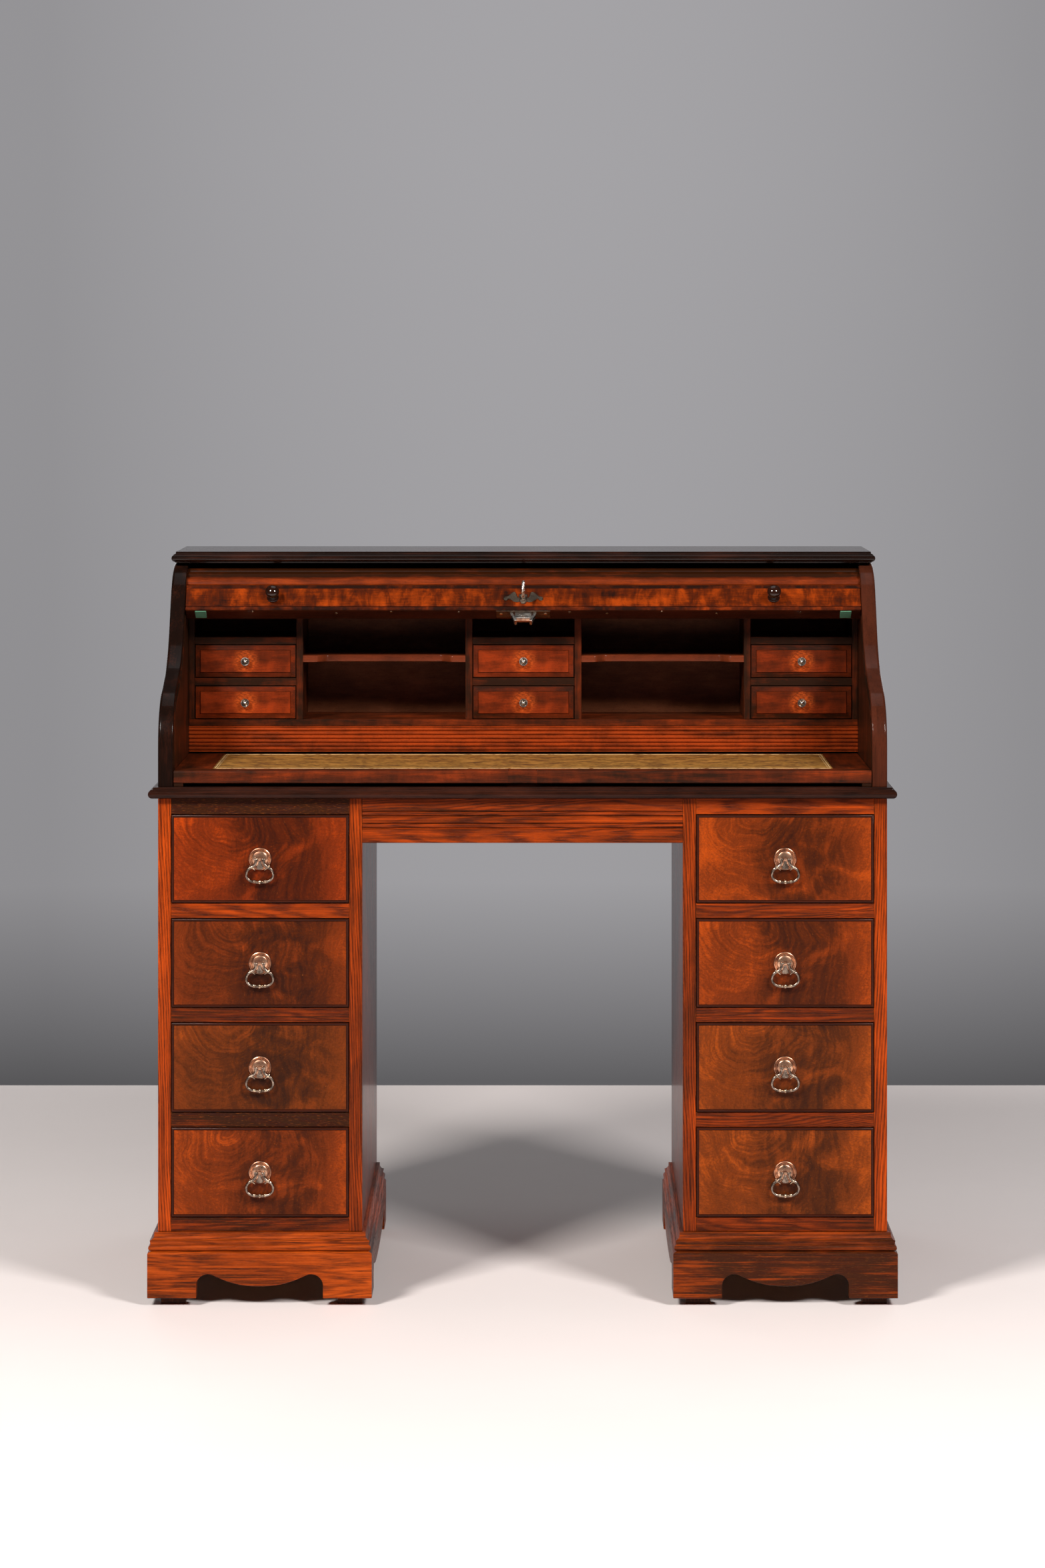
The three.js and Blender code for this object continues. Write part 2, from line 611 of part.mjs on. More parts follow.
// one section of the roll front: slats on their canvas, shaped as they lie when it is shut;
// the canvas starts at the origin and ends straight above it
function slatSection(count, shutStart) {
  const joints = [shutStart];
  for (let i = 0; i < count; i += 1) {
    joints.push(stepChord(track, joints[i], SLAT.pitch));
  }
  const edges = joints.map((distance) => pointAlong(track, distance));
  const foot = edges[0];
  const head = edges[count];
  const tilt = Math.atan2(head.x - foot.x, head.y - foot.y);
  const local = (point) => point.clone().sub(foot).rotateAround(new THREE.Vector2(), tilt);
  const rib = [[0.02, SLAT.joint], [0.13, 5.8], [0.32, 7.6], [0.5, SLAT.thick], [0.68, 7.6],
    [0.87, 5.8], [0.98, SLAT.joint]];
  const front = [];
  for (let i = 0; i < count; i += 1) {
    const along = local(edges[i + 1]).sub(local(edges[i]));
    const out = new THREE.Vector2(-along.y, along.x).normalize();
    for (const [part, rise] of rib) {
      const point = local(edges[i]).addScaledVector(along, part);
      front.push(point.addScaledVector(out, rise));
    }
  }
  const back = edges.map(local).reverse();
  back[0].y -= GAP;
  back[count].y += GAP;
  const shape = new THREE.Shape([...front, ...back].reverse());
  const reach = CHEEK.inner + SLAT.tongue;
  const chord = foot.distanceTo(head);
  return { geometry: acrossX(shape, -reach, reach), chord, shutEnd: joints[count], foot, tilt };
}

function leadRail() {
  const bead = arc(-LEAD.front + LEAD.bead, LEAD.bead, LEAD.bead, 1.5 * Math.PI, 0.7 * Math.PI, 5);
  const quirk = 2 * LEAD.bead + 0.6;
  const points = [
    [LEAD.back, 0], ...bead, [-LEAD.front + 1.4, quirk], [-LEAD.front, quirk + 1],
    [-LEAD.front, LEAD.height - LEAD.lip], [-LEAD.front + 1.6, LEAD.height - 0.4],
    [LEAD.back, LEAD.height - 0.4],
  ];
  const rail = acrossX(outline(points.reverse()), -LEAD.half, LEAD.half);
  const rebate = box(
    [-LOCK_PLATE.half - GAP, LOCK_PLATE.half + GAP],
    [LOCK_PLATE.front - GAP, LOCK_PLATE.back + GAP], [-1, LOCK_PLATE.thick + GAP],
  );
  const keyhole = new THREE.CylinderGeometry(KEYHOLE.radius, KEYHOLE.radius, 2 * KEY.inside, 10)
    .translate(0, -LEAD.front, KEYHOLE.z);
  return cut(rail, [rebate, keyhole]);
}

function railKnob() {
  return latheOut([
    [0, 0], [9.2, 0], [9.2, 2.4], [6.4, 4], [5, 7], [5.2, 10], [8.4, 12.4], [10.8, 15.5],
    [11, 18.5], [9.6, 22], [6, 24.6], [0, 26],
  ], 16);
}

// a pair of open wings about a keyhole, standing on a lobed base
function escutcheon() {
  const half = [
    [0, -10.2], [3.2, -9.2], [5, -6.2], [9.5, -6.9], [15, -5.4], [19.6, -1.6], [22.6, 0.4],
    [25.4, -2.6], [28.4, -3.6], [30.2, -1.6], [29.4, 0.8], [26, 1.6], [13.6, 10.6], [11.4, 6],
    [9.8, 1.6], [7.2, 1.8], [6.2, 6], [3.4, 7.6], [0, 8.2],
  ];
  const shape = outline([...half, ...half.slice(1, -1).map(([u, v]) => [-u, v]).reverse()]);
  const hole = new THREE.Path();
  hole.absarc(0, 0, KEYHOLE.radius, 0, 2 * Math.PI, true);
  shape.holes.push(hole);
  return acrossY(shape, -1.6, 0, 3);
}

// a plate let into the rail's foot with the bolt's block between two claws
function lockCatch() {
  const { half, front, back, thick } = LOCK_PLATE;
  const { block, drop, clawTop, clawFoot, clawDrop, wide } = CATCH;
  const claw = (side) => acrossY(outline([
    [side * clawTop, 1], [side * (clawTop - wide), 1], [side * (clawFoot - wide), -clawDrop],
    [side * clawFoot, -clawDrop],
  ]), -3, 7, 1);
  const toe = (x) => box([x - wide / 2, x + wide / 2], [-6.5, 0], [-clawDrop, -drop - GAP]);
  return join([
    box([-half, half], [front, back], [0, thick]),
    box([-block, block], [-2, 6], [-drop, 1]),
    claw(-1), claw(1), toe(-clawFoot + wide / 2), toe(clawFoot - wide / 2),
  ]);
}

// the key lies along -Y from the lock, its bow upright
function key() {
  const length = KEY.inside + KEY.outside;
  const shank = new THREE.CylinderGeometry(KEY.shank, KEY.shank, length, 10);
  shank.translate(0, KEY.inside - 2 - length / 2, 0);
  const collar = new THREE.CylinderGeometry(KEY.collar, KEY.collar, 2.4, 12).translate(0, -8, 0);
  const bow = new THREE.Shape();
  bow.absellipse(0, 0, KEY.bow / 2, KEY.bow / 2 - 1.5, 0, 2 * Math.PI);
  const eye = new THREE.Path();
  eye.absellipse(0, 0, KEY.bow / 2 - 3.4, KEY.bow / 2 - 5.2, 0, 2 * Math.PI, true);
  bow.holes.push(eye);
  const ring = acrossX(bow, -KEY.thick / 2, KEY.thick / 2, { curveSegments: 9 });
  ring.translate(0, -KEY.outside - KEY.bow / 2, 0);
  return join([shank, collar, ring]);
}

// ---- assembly -----------------------------------------------------------------------

for (const [side, word] of [[-1, 'left'], [1, 'right']]) {
  place(`plinth_${word}`, plinth(side), WOODS.oak);
  place(`pedestal_${word}`, pedestal(side), WOODS.oak);
  place(`cheek_${word}`, cheek(side), WOODS.darkOak);
  const centre = (side * (PEDESTAL.outer + PEDESTAL.inner)) / 2;
  DRAWER_HEIGHTS.forEach(([low, high], row) => {
    const drawer = new THREE.Group();
    drawer.position.set(centre, -DRAWER.projection, (low + high) / 2);
    desk.add(drawer);
    const label = `${word}_${row + 1}`;
    place(`drawer_${label}`, pedestalDrawer(high - low), WOODS.mahogany, drawer);
    const plate = place(`rose_${label}`, rose(), COPPER, drawer);
    plate.position.y = 1.6 - GAP;
    const loop = place(`bail_${label}`, bail(), GUNMETAL, drawer);
    loop.position.y = plate.position.y - BAIL.stand;
  });
}
place('kneehole_apron', apron(), WOODS.oak);
place('worktop', worktop(), WOODS.darkOak);
place('top_board', topBoard(), WOODS.darkOak);
place('case_back', box(
  [-GALLERY.half, GALLERY.half], [CASE_BACK.front, CASE_BACK.back],
  [CASE_BACK.low, CASE_BACK.high],
), WOODS.darkOak);
place('gallery', gallery(), WOODS.redWood);
place('reeded_fascia', fascia(), WOODS.redWood);
place('writing_slide', writingSlide(), WOODS.redWood);
place('leather_inlay', leather(), LEATHER_MATERIAL);

for (const { name, x, width } of SMALL_COLUMNS) {
  SMALL_DRAWERS.forEach(([low, high], row) => {
    const drawer = place(
      `small_drawer_${name}_${row === 0 ? 'upper' : 'lower'}`,
      smallDrawer(width, high - low), WOODS.redWood,
    );
    drawer.position.set(x, GALLERY.front - SMALL.raise, (low + high) / 2);
  });
}

const leadOpen = seatOnTrack(LEAD_OPEN, LEAD.height);
const leadShut = seatOnTrack(LEAD_SHUT, LEAD.height);
const lead = new THREE.Group();
lead.position.set(0, leadOpen.foot.x, leadOpen.foot.y);
lead.rotation.x = -leadOpen.tilt;
lead.userData.shut = { y: leadShut.foot.x, z: leadShut.foot.y, tilt: leadShut.tilt };
desk.add(lead);
place('lead_rail', leadRail(), WOODS.slatWood, lead);
for (const [side, word] of [[-1, 'left'], [1, 'right']]) {
  const knob = place(`rail_knob_${word}`, railKnob(), EBONY, lead);
  knob.position.set(side * RAIL_KNOB.x, -LEAD.front - GAP, RAIL_KNOB.z);
}
const wings = place('escutcheon', escutcheon(), BRONZE, lead);
wings.position.set(0, -LEAD.front - GAP, KEYHOLE.z);
place('lock_catch', lockCatch(), STEEL, lead);
const keyMesh = place('key', key(), STEEL, lead);
keyMesh.position.set(0, -LEAD.front, KEYHOLE.z);

let openAt = leadOpen.end;
let shutAt = leadShut.end;
SECTIONS.forEach((count, index) => {
  const section = slatSection(count, shutAt);
  const open = seatOnTrack(openAt, section.chord);
  const mesh = place(`tambour_${index + 1}`, section.geometry, WOODS.slatWood);
  mesh.position.set(0, open.foot.x, open.foot.y);
  mesh.rotation.x = -open.tilt;
  mesh.userData.shut = { y: section.foot.x, z: section.foot.y, tilt: section.tilt };
  openAt = open.end;
  shutAt = section.shutEnd;
});

export default desk;
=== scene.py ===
"""Looks of a roll-top desk: mouldings, veneers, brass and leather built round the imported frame.

Lengths are millimetres in desk coordinates until at() makes a point of the frame: x to the right,
d back from the pedestals' front plane, z up.
"""
import json
import math
import random

import bmesh
import bpy
from mathutils import Euler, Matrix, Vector


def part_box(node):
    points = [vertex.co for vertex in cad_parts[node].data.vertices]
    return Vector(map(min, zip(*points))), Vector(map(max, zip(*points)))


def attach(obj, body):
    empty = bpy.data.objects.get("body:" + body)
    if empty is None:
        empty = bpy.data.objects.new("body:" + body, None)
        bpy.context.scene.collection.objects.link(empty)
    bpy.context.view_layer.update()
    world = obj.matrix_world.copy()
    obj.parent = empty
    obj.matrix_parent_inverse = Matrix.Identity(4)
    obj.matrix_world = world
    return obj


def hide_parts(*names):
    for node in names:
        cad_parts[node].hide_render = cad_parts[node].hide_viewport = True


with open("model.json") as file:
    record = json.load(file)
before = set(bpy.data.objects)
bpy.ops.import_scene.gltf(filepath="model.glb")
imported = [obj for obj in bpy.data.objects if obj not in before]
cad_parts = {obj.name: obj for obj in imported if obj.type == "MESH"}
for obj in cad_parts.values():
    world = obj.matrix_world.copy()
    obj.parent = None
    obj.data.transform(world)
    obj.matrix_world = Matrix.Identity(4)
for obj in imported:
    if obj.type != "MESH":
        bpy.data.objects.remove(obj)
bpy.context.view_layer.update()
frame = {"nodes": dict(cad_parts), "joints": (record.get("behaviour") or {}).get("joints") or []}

MM = 0.001
FRONT_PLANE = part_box("pedestal_left")[0].y
SIDES = ((-1, "left"), (1, "right"))


def at(x, d, z):
    """A point of the desk, from millimetres to the frame's metres."""
    return Vector((x * MM, FRONT_PLANE + d * MM, z * MM))


def spans(name):
    """The (low, high) pairs of a CAD node along x, d and z in desk millimetres."""
    low, high = [(corner - at(0, 0, 0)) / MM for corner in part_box(name)]
    return tuple(zip(low, high))


def middle_of(span):
    return (span[0] + span[1]) / 2


def arc(u, v, radius, start, end, steps):
    """Points of an arc between two angles in degrees."""
    turn = [math.radians(start + (end - start) * i / steps) for i in range(steps + 1)]
    return [(u + radius * math.cos(a), v + radius * math.sin(a)) for a in turn]


def rectangle(u, v, inset=0):
    """The corners of a rectangle between two spans, anticlockwise from the lowest."""
    return [(u[0] + inset, v[0] + inset), (u[1] - inset, v[0] + inset),
            (u[1] - inset, v[1] - inset), (u[0] + inset, v[1] - inset)]


def mirrored(points):
    """Points of a half outline on the other side of its middle line, in reverse order."""
    return [(-u, v) for u, v in reversed(points)]


# ---- node helpers --------------------------------------------


class Wire:
    """An output of a node; arithmetic on wires and numbers adds math nodes."""

    def __init__(self, nodes, socket):
        self.nodes = nodes
        self.socket = socket

    def __add__(self, other):
        return self.nodes.math("ADD", self, other)

    def __sub__(self, other):
        return self.nodes.math("SUBTRACT", self, other)

    def __mul__(self, other):
        return self.nodes.math("MULTIPLY", self, other)

    def __abs__(self):
        return self.nodes.math("ABSOLUTE", self)


class Nodes:
    """A node tree, with one short method for each kind of node that the looks need."""

    def __init__(self, tree):
        self.tree = tree

    def node(self, kind, inputs=(), **props):
        made = self.tree.nodes.new(kind)
        for key, value in props.items():
            setattr(made, key, value)
        for key, value in dict(inputs).items():
            self.feed(made.inputs[key], value)
        return made

    def feed(self, socket, value):
        if isinstance(value, Wire):
            self.tree.links.new(value.socket, socket)
        else:
            socket.default_value = value

    def wire(self, kind, output, inputs=(), **props):
        return Wire(self, self.node(kind, inputs, **props).outputs[output])

    def math(self, operation, a, b=0.0, clamp=False):
        return self.wire("ShaderNodeMath", 0, {0: a, 1: b}, operation=operation, use_clamp=clamp)

    def distance(self, a, b):
        """How far a point lies from 0, 0."""
        return self.math("SQRT", a * a + b * b)

    def vector(self, operation, a, b):
        return self.wire("ShaderNodeVectorMath", 0, {0: a, 1: b}, operation=operation)

    def attribute(self, name, output="Fac"):
        return self.wire("ShaderNodeAttribute", output, attribute_name=name)

    def coords(self, source):
        """Millimetres along the grain, across it and through the board, or in the object."""
        if source == "wood":
            return self.attribute("wood", "Vector")
        objects = self.wire("ShaderNodeTexCoord", "Object")
        return self.vector("MULTIPLY", objects, (1 / MM, 1 / MM, 1 / MM))

    def split(self, vector):
        return [Wire(self, out) for out in self.node("ShaderNodeSeparateXYZ", {0: vector}).outputs]

    def noise(self, vector, sizes, detail=3.0, roughness=0.5, distortion=0.0, output="Fac"):
        """Noise whose clouds measure sizes along, across and through."""
        return self.wire("ShaderNodeTexNoise", output, {
            "Vector": self.vector("MULTIPLY", vector, tuple(1 / size for size in sizes)),
            "Scale": 1.0, "Detail": detail, "Roughness": roughness, "Distortion": distortion})

    def band(self, value, low, high, to_low=0.0, to_high=1.0, curve="SMOOTHSTEP"):
        """A value carried from one range to another, and held at its ends."""
        return self.wire("ShaderNodeMapRange", "Result", {
            "Value": value, "From Min": low, "From Max": high, "To Min": to_low,
            "To Max": to_high}, interpolation_type=curve)


class Look(Nodes):
    """A material whose colour, roughness and bump come from its nodes."""

    def __init__(self, name, coat=0.0, coat_roughness=0.1, specular=0.5, metallic=0.0,
                 roughness=0.4):
        self.material = bpy.data.materials.new(name)
        self.material.use_nodes = True
        super().__init__(self.material.node_tree)
        self.surface = self.tree.nodes["Principled BSDF"].inputs
        for key, value in (("Metallic", metallic), ("Roughness", roughness),
                           ("Coat Weight", coat), ("Coat Roughness", coat_roughness),
                           ("Specular IOR Level", specular)):
            self.surface[key].default_value = value

    def mix(self, factor, a, b):
        """Colour a turning into colour b; b is a plain colour."""
        made = self.node("ShaderNodeMix", {"Factor": factor}, data_type="RGBA")
        self.feed(made.inputs[6], a if isinstance(a, Wire) else (*a, 1))
        made.inputs[7].default_value = (*b, 1)
        return Wire(self, made.outputs[2])

    def ramp(self, factor, stops):
        made = self.node("ShaderNodeValToRGB", {"Fac": factor})
        elements = made.color_ramp.elements
        while len(elements) < len(stops):
            elements.new(0.5)
        for element, (place, colour) in zip(elements, stops):
            element.position = place
            element.color = (*colour, 1)
        return Wire(self, made.outputs["Color"])

    def finish(self, colour, rough, height=None, distance=0.0, strength=0.5):
        """Links colour, roughness and a bump of so many millimetres; returns the material."""
        self.feed(self.surface["Base Color"], colour)
        self.feed(self.surface["Roughness"], rough)
        if height is not None:
            self.feed(self.surface["Normal"], self.wire("ShaderNodeBump", "Normal", {
                "Height": height, "Distance": distance * MM, "Strength": strength}))
        return self.material


def darker(colour, share):
    """A colour with only a share of its light."""
    return tuple(c * share for c in colour)


# ---- materials -----------------------------------------------


def open_grain_wood(name, light, mid, dark, pith=45.0, ring=4.2, taper=0.05, figure=0.75,
                    coat=0.04, ends=0.0):
    """Stained, lacquered oak: growth rings, rows of dark pores, streaks and a clouded stain.

    The tone of a board runs from 0, the darkest stain, to 1, the lightest; ends is how much
    the stain darkens towards a board's ends."""
    s = Look(name, coat, 0.12, 0.08)
    p = s.coords("wood")
    u, v, w = s.split(p)
    tone = s.attribute("tone")
    aside = v + (s.noise(p, (420, 60, 60), 2) - 0.5) * 90.0
    wobble = s.noise(p, (110, 9, 9)) * 6.0
    radius = s.distance(aside, w + pith) + u * taper + wobble
    phase = s.math("FRACT", radius * (1 / ring))
    early = s.band(phase, 0.0, 0.25) * s.band(phase, 0.4, 0.7, 1.0, 0.0)
    fibre = s.noise(p, (90, 1.1, 1.1), 4, 0.65)
    streak = s.noise(p, (260, 3.2, 3.2), 4, 0.6)
    stain = s.noise(p, (140, 40, 40), 4, 0.6, 0.4)
    value = tone * 1.1 - 0.62 + fibre * 0.45 + (streak - 0.5) * 1.25 + (stain - 0.38) * 1.15
    if ends:
        value = value - s.band(abs(u), 50.0, 135.0) * ends
    colour = s.ramp(value, ((0.0, dark), (0.38, mid), (0.9, light)))
    lines = early * s.band(fibre, 0.3, 0.62) * figure
    colour = s.mix(lines, colour, darker(mid, 0.18))
    dash = s.band(s.noise(p, (30, 0.7, 0.7), 2, 0.6), 0.5, 0.62) * (early * 0.7 + 0.2)
    fine = s.band(s.noise(p, (7, 0.3, 0.3), 1), 0.56, 0.7) * 0.35
    holes = s.math("MAXIMUM", dash, fine, clamp=True)
    colour = s.mix(holes * 0.85, colour, darker(mid, 0.1))
    # lacquer rubbed through to pale wood along the arrises, and stray pale flecks
    chips = s.band(s.noise(p, (6, 3, 3), 4, 0.7), 0.5, 0.68)
    fleck = s.band(s.noise(p, (8, 0.8, 0.8), 3, 0.7), 0.56, 0.72)
    pale = (min(1.0, light[0] * 1.3), light[1] * 2.2 + 0.02, light[2] * 3 + 0.01)
    colour = s.mix(s.attribute("edge") * chips * 0.35, colour, pale)
    colour = s.mix(fleck * s.band(tone, 0.0, 0.5, 0.3, 0.12), colour, pale)
    rough = s.band(stain * 0.5 + holes, 0.1, 1.0, 0.32, 0.5)
    return s.finish(colour, rough, fibre * 0.3 - holes, 0.22, 0.6)


def flame_veneer(name, gold):
    """Polished crotch veneer: fine growth arcs, smoky clouds and an orange glow at both ends.

    Gold turns the red of the stain towards yellow."""
    s = Look(name, 0.03, 0.1, 0.05)
    p = s.coords("wood")
    u, _, w = s.split(p)
    push = s.vector("SUBTRACT", s.noise(p, (90, 90, 90), 2, output="Color"), (0.5, 0.5, 0.5))
    bent = s.vector("ADD", p, s.vector("MULTIPLY", push, (60, 60, 60)))
    bent_u, bent_v, _ = s.split(bent)
    # growth arcs wind round a knot high on the left
    radius = s.distance(bent_u + 45.0, bent_v - 65.0)
    wound = s.wire("ShaderNodeCombineXYZ", 0, {0: radius, 1: bent_u, 2: w})
    arcs = (s.noise(wound, (4.6, 70, 40), 3, 0.55) - 0.5) * s.band(radius, 40.0, 130.0, 1.0, 0.3)
    cloud = s.noise(bent, (62, 48, 60), 3, 0.5, 0.5)
    smoke = s.noise(bent, (7, 48, 60), 4, 0.55, 0.2)
    mottle = s.noise(bent, (3.6, 2.6, 5), 4, 0.75)
    middle = s.band(u, -70.0, 5.0) * s.band(u, 55.0, 118.0, 1.0, 0.0)
    ends = s.band(abs(u), 92.0, 133.0)
    shade = s.band(cloud, 0.3, 0.6) * (middle * 0.6 + 0.36)
    shade = s.band(smoke, 0.36, 0.66) * (middle * 0.34 + 0.14) + shade
    value = arcs * 0.62 + 0.58 - shade * 0.36 + (mottle - 0.5) * 0.5 + ends * 0.12
    value = value + (s.attribute("tone") - 0.5) * 0.5
    stops = ((0.0, 0.03, 0.007, 0.003), (0.25, 0.072, 0.013, 0.003), (0.5, 0.165, 0.025, 0.004),
             (0.75, 0.41, 0.058, 0.005), (1.0, 0.8, 0.16, 0.02))
    colour = s.ramp(value, [(place, (r, g * gold, b * gold)) for place, r, g, b in stops])
    grain = s.band(s.noise(bent, (0.8, 5, 3), 3, 0.7), 0.45, 0.72)
    colour = s.mix(grain * 0.24, colour, (0.04, 0.008, 0.003))
    spark = s.band(s.noise(bent, (1.2, 3.4, 2)), 0.62, 0.78)
    colour = s.mix(spark * 0.16, colour, (0.6, 0.16, 0.025))
    rough = s.band(grain + cloud, 0.3, 1.4, 0.26, 0.42)
    return s.finish(colour, rough, cloud - grain * 0.2, 0.3, 0.25)


def ribbon_wood(name, light, mid, dark, pitch, source="wood", stripe=0.45, patches=0.55,
                patch_size=(55, 15, 15), coat=0.04, halo=False):
    """Ribbon-striped wood: short cross stripes that shimmer along a straight grain.

    A halo is the lacquer worn bright round the knob at the middle of a drawer front."""
    s = Look(name, coat, 0.12, 0.08)
    p = s.coords(source)
    u, v, w = s.split(p)
    stripes = s.noise(p, (pitch, 46, 46), 3, 0.65, 0.4)
    cloud = s.noise(p, (210, 40, 40), 3, 0.55)
    patch = s.noise(p, patch_size, 4, 0.6, 0.3)
    fibre = s.noise(p, (34, 0.8, 0.8), 3, 0.7)
    value = cloud * 0.5 + 0.365 + (stripes - 0.5) * stripe + (patch - 0.5) * patches
    value = value + (fibre - 0.5) * 0.5
    if source == "wood":
        value = value + (s.attribute("tone") - 0.5) * 0.9
    else:
        # painted shade: the slats above the one next to the lead rail, and those behind it, are
        # darkened for the top board's shadow; only that slat keeps its full tone
        top_board_shade = s.math("MAXIMUM", s.band(w, 1075.0, 1080.0), s.band(v, 20.0, 60.0))
        value = value - top_board_shade * 0.36
    colour = s.ramp(value, ((0.3, dark), (0.58, mid), (0.9, light)))
    spots = s.band(s.noise(p, (2.6, 0.9, 0.9), 2, 0.6), 0.54, 0.74)
    colour = s.mix(spots * 0.55, colour, darker(mid, 0.2))
    if halo:
        crackle = s.band(s.noise(p, (5, 2.2, 5), 4, 0.75), 0.42, 0.6) * 0.6 + 0.15
        worn = s.band(s.distance(u, v), 9.0, 25.0, 1.0, 0.0) * crackle
        colour = s.mix(worn, colour, (0.55, 0.085, 0.012))
    rough = s.band(value, 0.2, 1.0, 0.4, 0.26)
    return s.finish(colour, rough, fibre - spots * 0.6, 0.12)


def dark_lacquer(name, deep, lift, gloss, source="wood", coat=0.16):
    """Near-black stain under gloss lacquer, rubbed back to brown along the edges."""
    s = Look(name, coat, 0.08, 0.04)
    p = s.coords(source)
    fibre = s.noise(p, (90, 1.6, 1.6), 4, 0.65)
    cloud = s.noise(p, (120, 40, 40), 4, 0.6)
    pore = s.band(s.noise(p, (12, 0.5, 0.5), 2), 0.58, 0.72)
    value = fibre * 0.5 + cloud * 0.6
    if source == "wood":
        value = value + (s.attribute("tone") - 0.5) * 0.8
    colour = s.ramp(value, ((0.32, deep), (0.95, lift)))
    colour = s.mix(pore * 0.7, colour, darker(deep, 0.4))
    if source == "wood":
        chips = s.band(s.noise(p, (11, 6, 6), 5, 0.7), 0.42, 0.7)
        brown = tuple(min(1, c * 5 + 0.02) for c in lift)
        colour = s.mix(s.attribute("edge") * chips * 0.5, colour, brown)
    return s.finish(colour, s.band(cloud + pore, 0.3, 1.6, *gloss), fibre - pore, 0.08)


def plain_wood(name):
    """Unfinished pale boards of drawer trays and dust boards."""
    s = Look(name)
    p = s.coords("wood")
    fibre = s.noise(p, (160, 2.2, 2.2), 4, 0.6)
    value = fibre * 0.6 + s.noise(p, (200, 50, 50), 2) * 0.5
    colour = s.ramp(value, ((0.3, (0.17, 0.075, 0.026)), (0.8, (0.36, 0.19, 0.085))))
    return s.finish(colour, s.band(fibre, 0.2, 0.8, 0.6, 0.8), fibre, 0.15)


def aged_metal(name, bright, dull, smooth, rough, scale=1.0):
    """Patinated metal: dull and cloudy in noise patches, rubbed bright in others."""
    s = Look(name, metallic=1.0)
    p = s.coords("object")
    speck = s.noise(p, (1.1 * scale,) * 3, 3, 0.7)
    value = s.noise(p, (9 * scale,) * 3, 4, 0.6) * 0.8 + speck * 0.3
    colour = s.mix(s.band(value, 0.4, 0.72), dull, bright)
    return s.finish(colour, s.band(value, 0.35, 0.75, rough, smooth), speck, 0.05)


def tooled_leather(name):
    """Green-gold hide: mottled dye over a pebbled grain."""
    s = Look(name, 0.15, 0.3)
    p = s.coords("object")
    blotch = s.noise(p, (38, 26, 38), 5, 0.68, 0.4)
    dapple = s.noise(p, (7, 6, 7), 4, 0.7)
    pebble = s.wire("ShaderNodeTexVoronoi", "Distance", {
        "Vector": s.vector("MULTIPLY", p, (0.9, 0.9, 0.9)), "Scale": 1.0})
    value = (blotch - 0.5) * 1.1 + 0.59 + (dapple - 0.5) * 0.9
    colour = s.ramp(value, (
        (0.32, (0.05, 0.024, 0.006)), (0.5, (0.17, 0.076, 0.016)), (0.64, (0.32, 0.16, 0.03)),
        (0.82, (0.52, 0.25, 0.06))))
    return s.finish(colour, s.band(value, 0.3, 0.8, 0.5, 0.34), pebble, 0.12)


def gold_tooling(name):
    """Pale gilt lines, rubbed away in places."""
    s = Look(name, specular=0.3)
    rub = s.noise(s.coords("object"), (14, 14, 14), 4, 0.7)
    colour = s.mix(s.band(rub, 0.36, 0.5), (0.16, 0.08, 0.025), (0.62, 0.42, 0.2))
    return s.finish(colour, s.band(rub, 0.4, 0.6, 0.6, 0.35))


def green_felt(name):
    """Fluffy green cloth."""
    s = Look(name)
    fluff = s.noise(s.coords("object"), (0.8, 0.8, 0.8), 4, 0.7)
    colour = s.mix(fluff, (0.03, 0.11, 0.06), (0.1, 0.26, 0.16))
    return s.finish(colour, s.band(fluff, 0.2, 0.8, 0.85, 1.0), fluff, 0.4, 0.8)


OAK_TONES = ((0.49, 0.06, 0.003), (0.19, 0.024, 0.002), (0.03, 0.008, 0.002))
OAK = open_grain_wood("oak", *OAK_TONES)
OAK_PANEL = open_grain_wood("oak_panel", *OAK_TONES, coat=0.35)
OAK_PLINTH = open_grain_wood(
    "oak_plinth", (0.56, 0.088, 0.007), (0.27, 0.038, 0.003), (0.04, 0.01, 0.003), pith=70.0,
    ring=3.4, taper=0.03, figure=0.5, ends=0.24)
RED_WOOD = ribbon_wood(
    "red_wood", (0.31, 0.04, 0.006), (0.1, 0.016, 0.004), (0.02, 0.007, 0.003), 26.0,
    patches=0.85, patch_size=(100, 12, 12))
RAIL_WOOD = ribbon_wood(
    "rail_wood", (0.29, 0.038, 0.003), (0.075, 0.01, 0.001), (0.014, 0.003, 0.001), 18.0,
    stripe=1.15, patches=0.75, patch_size=(70, 30, 30))
BACK_WOOD = ribbon_wood(
    "gallery_back", (0.27, 0.085, 0.036), (0.16, 0.048, 0.02), (0.08, 0.025, 0.012), 60.0)
SLAT_WOOD = ribbon_wood(
    "slat_wood", (0.32, 0.044, 0.005), (0.12, 0.017, 0.003), (0.02, 0.005, 0.001), 60.0,
    source="object")
SHELF_WOOD = ribbon_wood(
    "shelf_wood", (0.16, 0.03, 0.01), (0.07, 0.014, 0.005), (0.03, 0.008, 0.004), 40.0, coat=0.6)
FRONT_WOOD = ribbon_wood(
    "front_wood", (0.32, 0.037, 0.006), (0.115, 0.015, 0.003), (0.022, 0.006, 0.002), 26.0,
    halo=True)
RED_VENEER = flame_veneer("flame_veneer_red", 0.82)
VENEER = flame_veneer("flame_veneer", 1.02)
GOLD_VENEER = flame_veneer("flame_veneer_gold", 1.24)
BEAD = dark_lacquer("bead_lacquer", (0.014, 0.005, 0.003), (0.07, 0.013, 0.005), (0.2, 0.34))
BLACK_TONES = ((0.007, 0.003, 0.002), (0.085, 0.02, 0.009), (0.24, 0.4))
BLACK = dark_lacquer("black_lacquer", *BLACK_TONES)
TOP_BLACK = dark_lacquer("top_lacquer", *BLACK_TONES, coat=0.5)
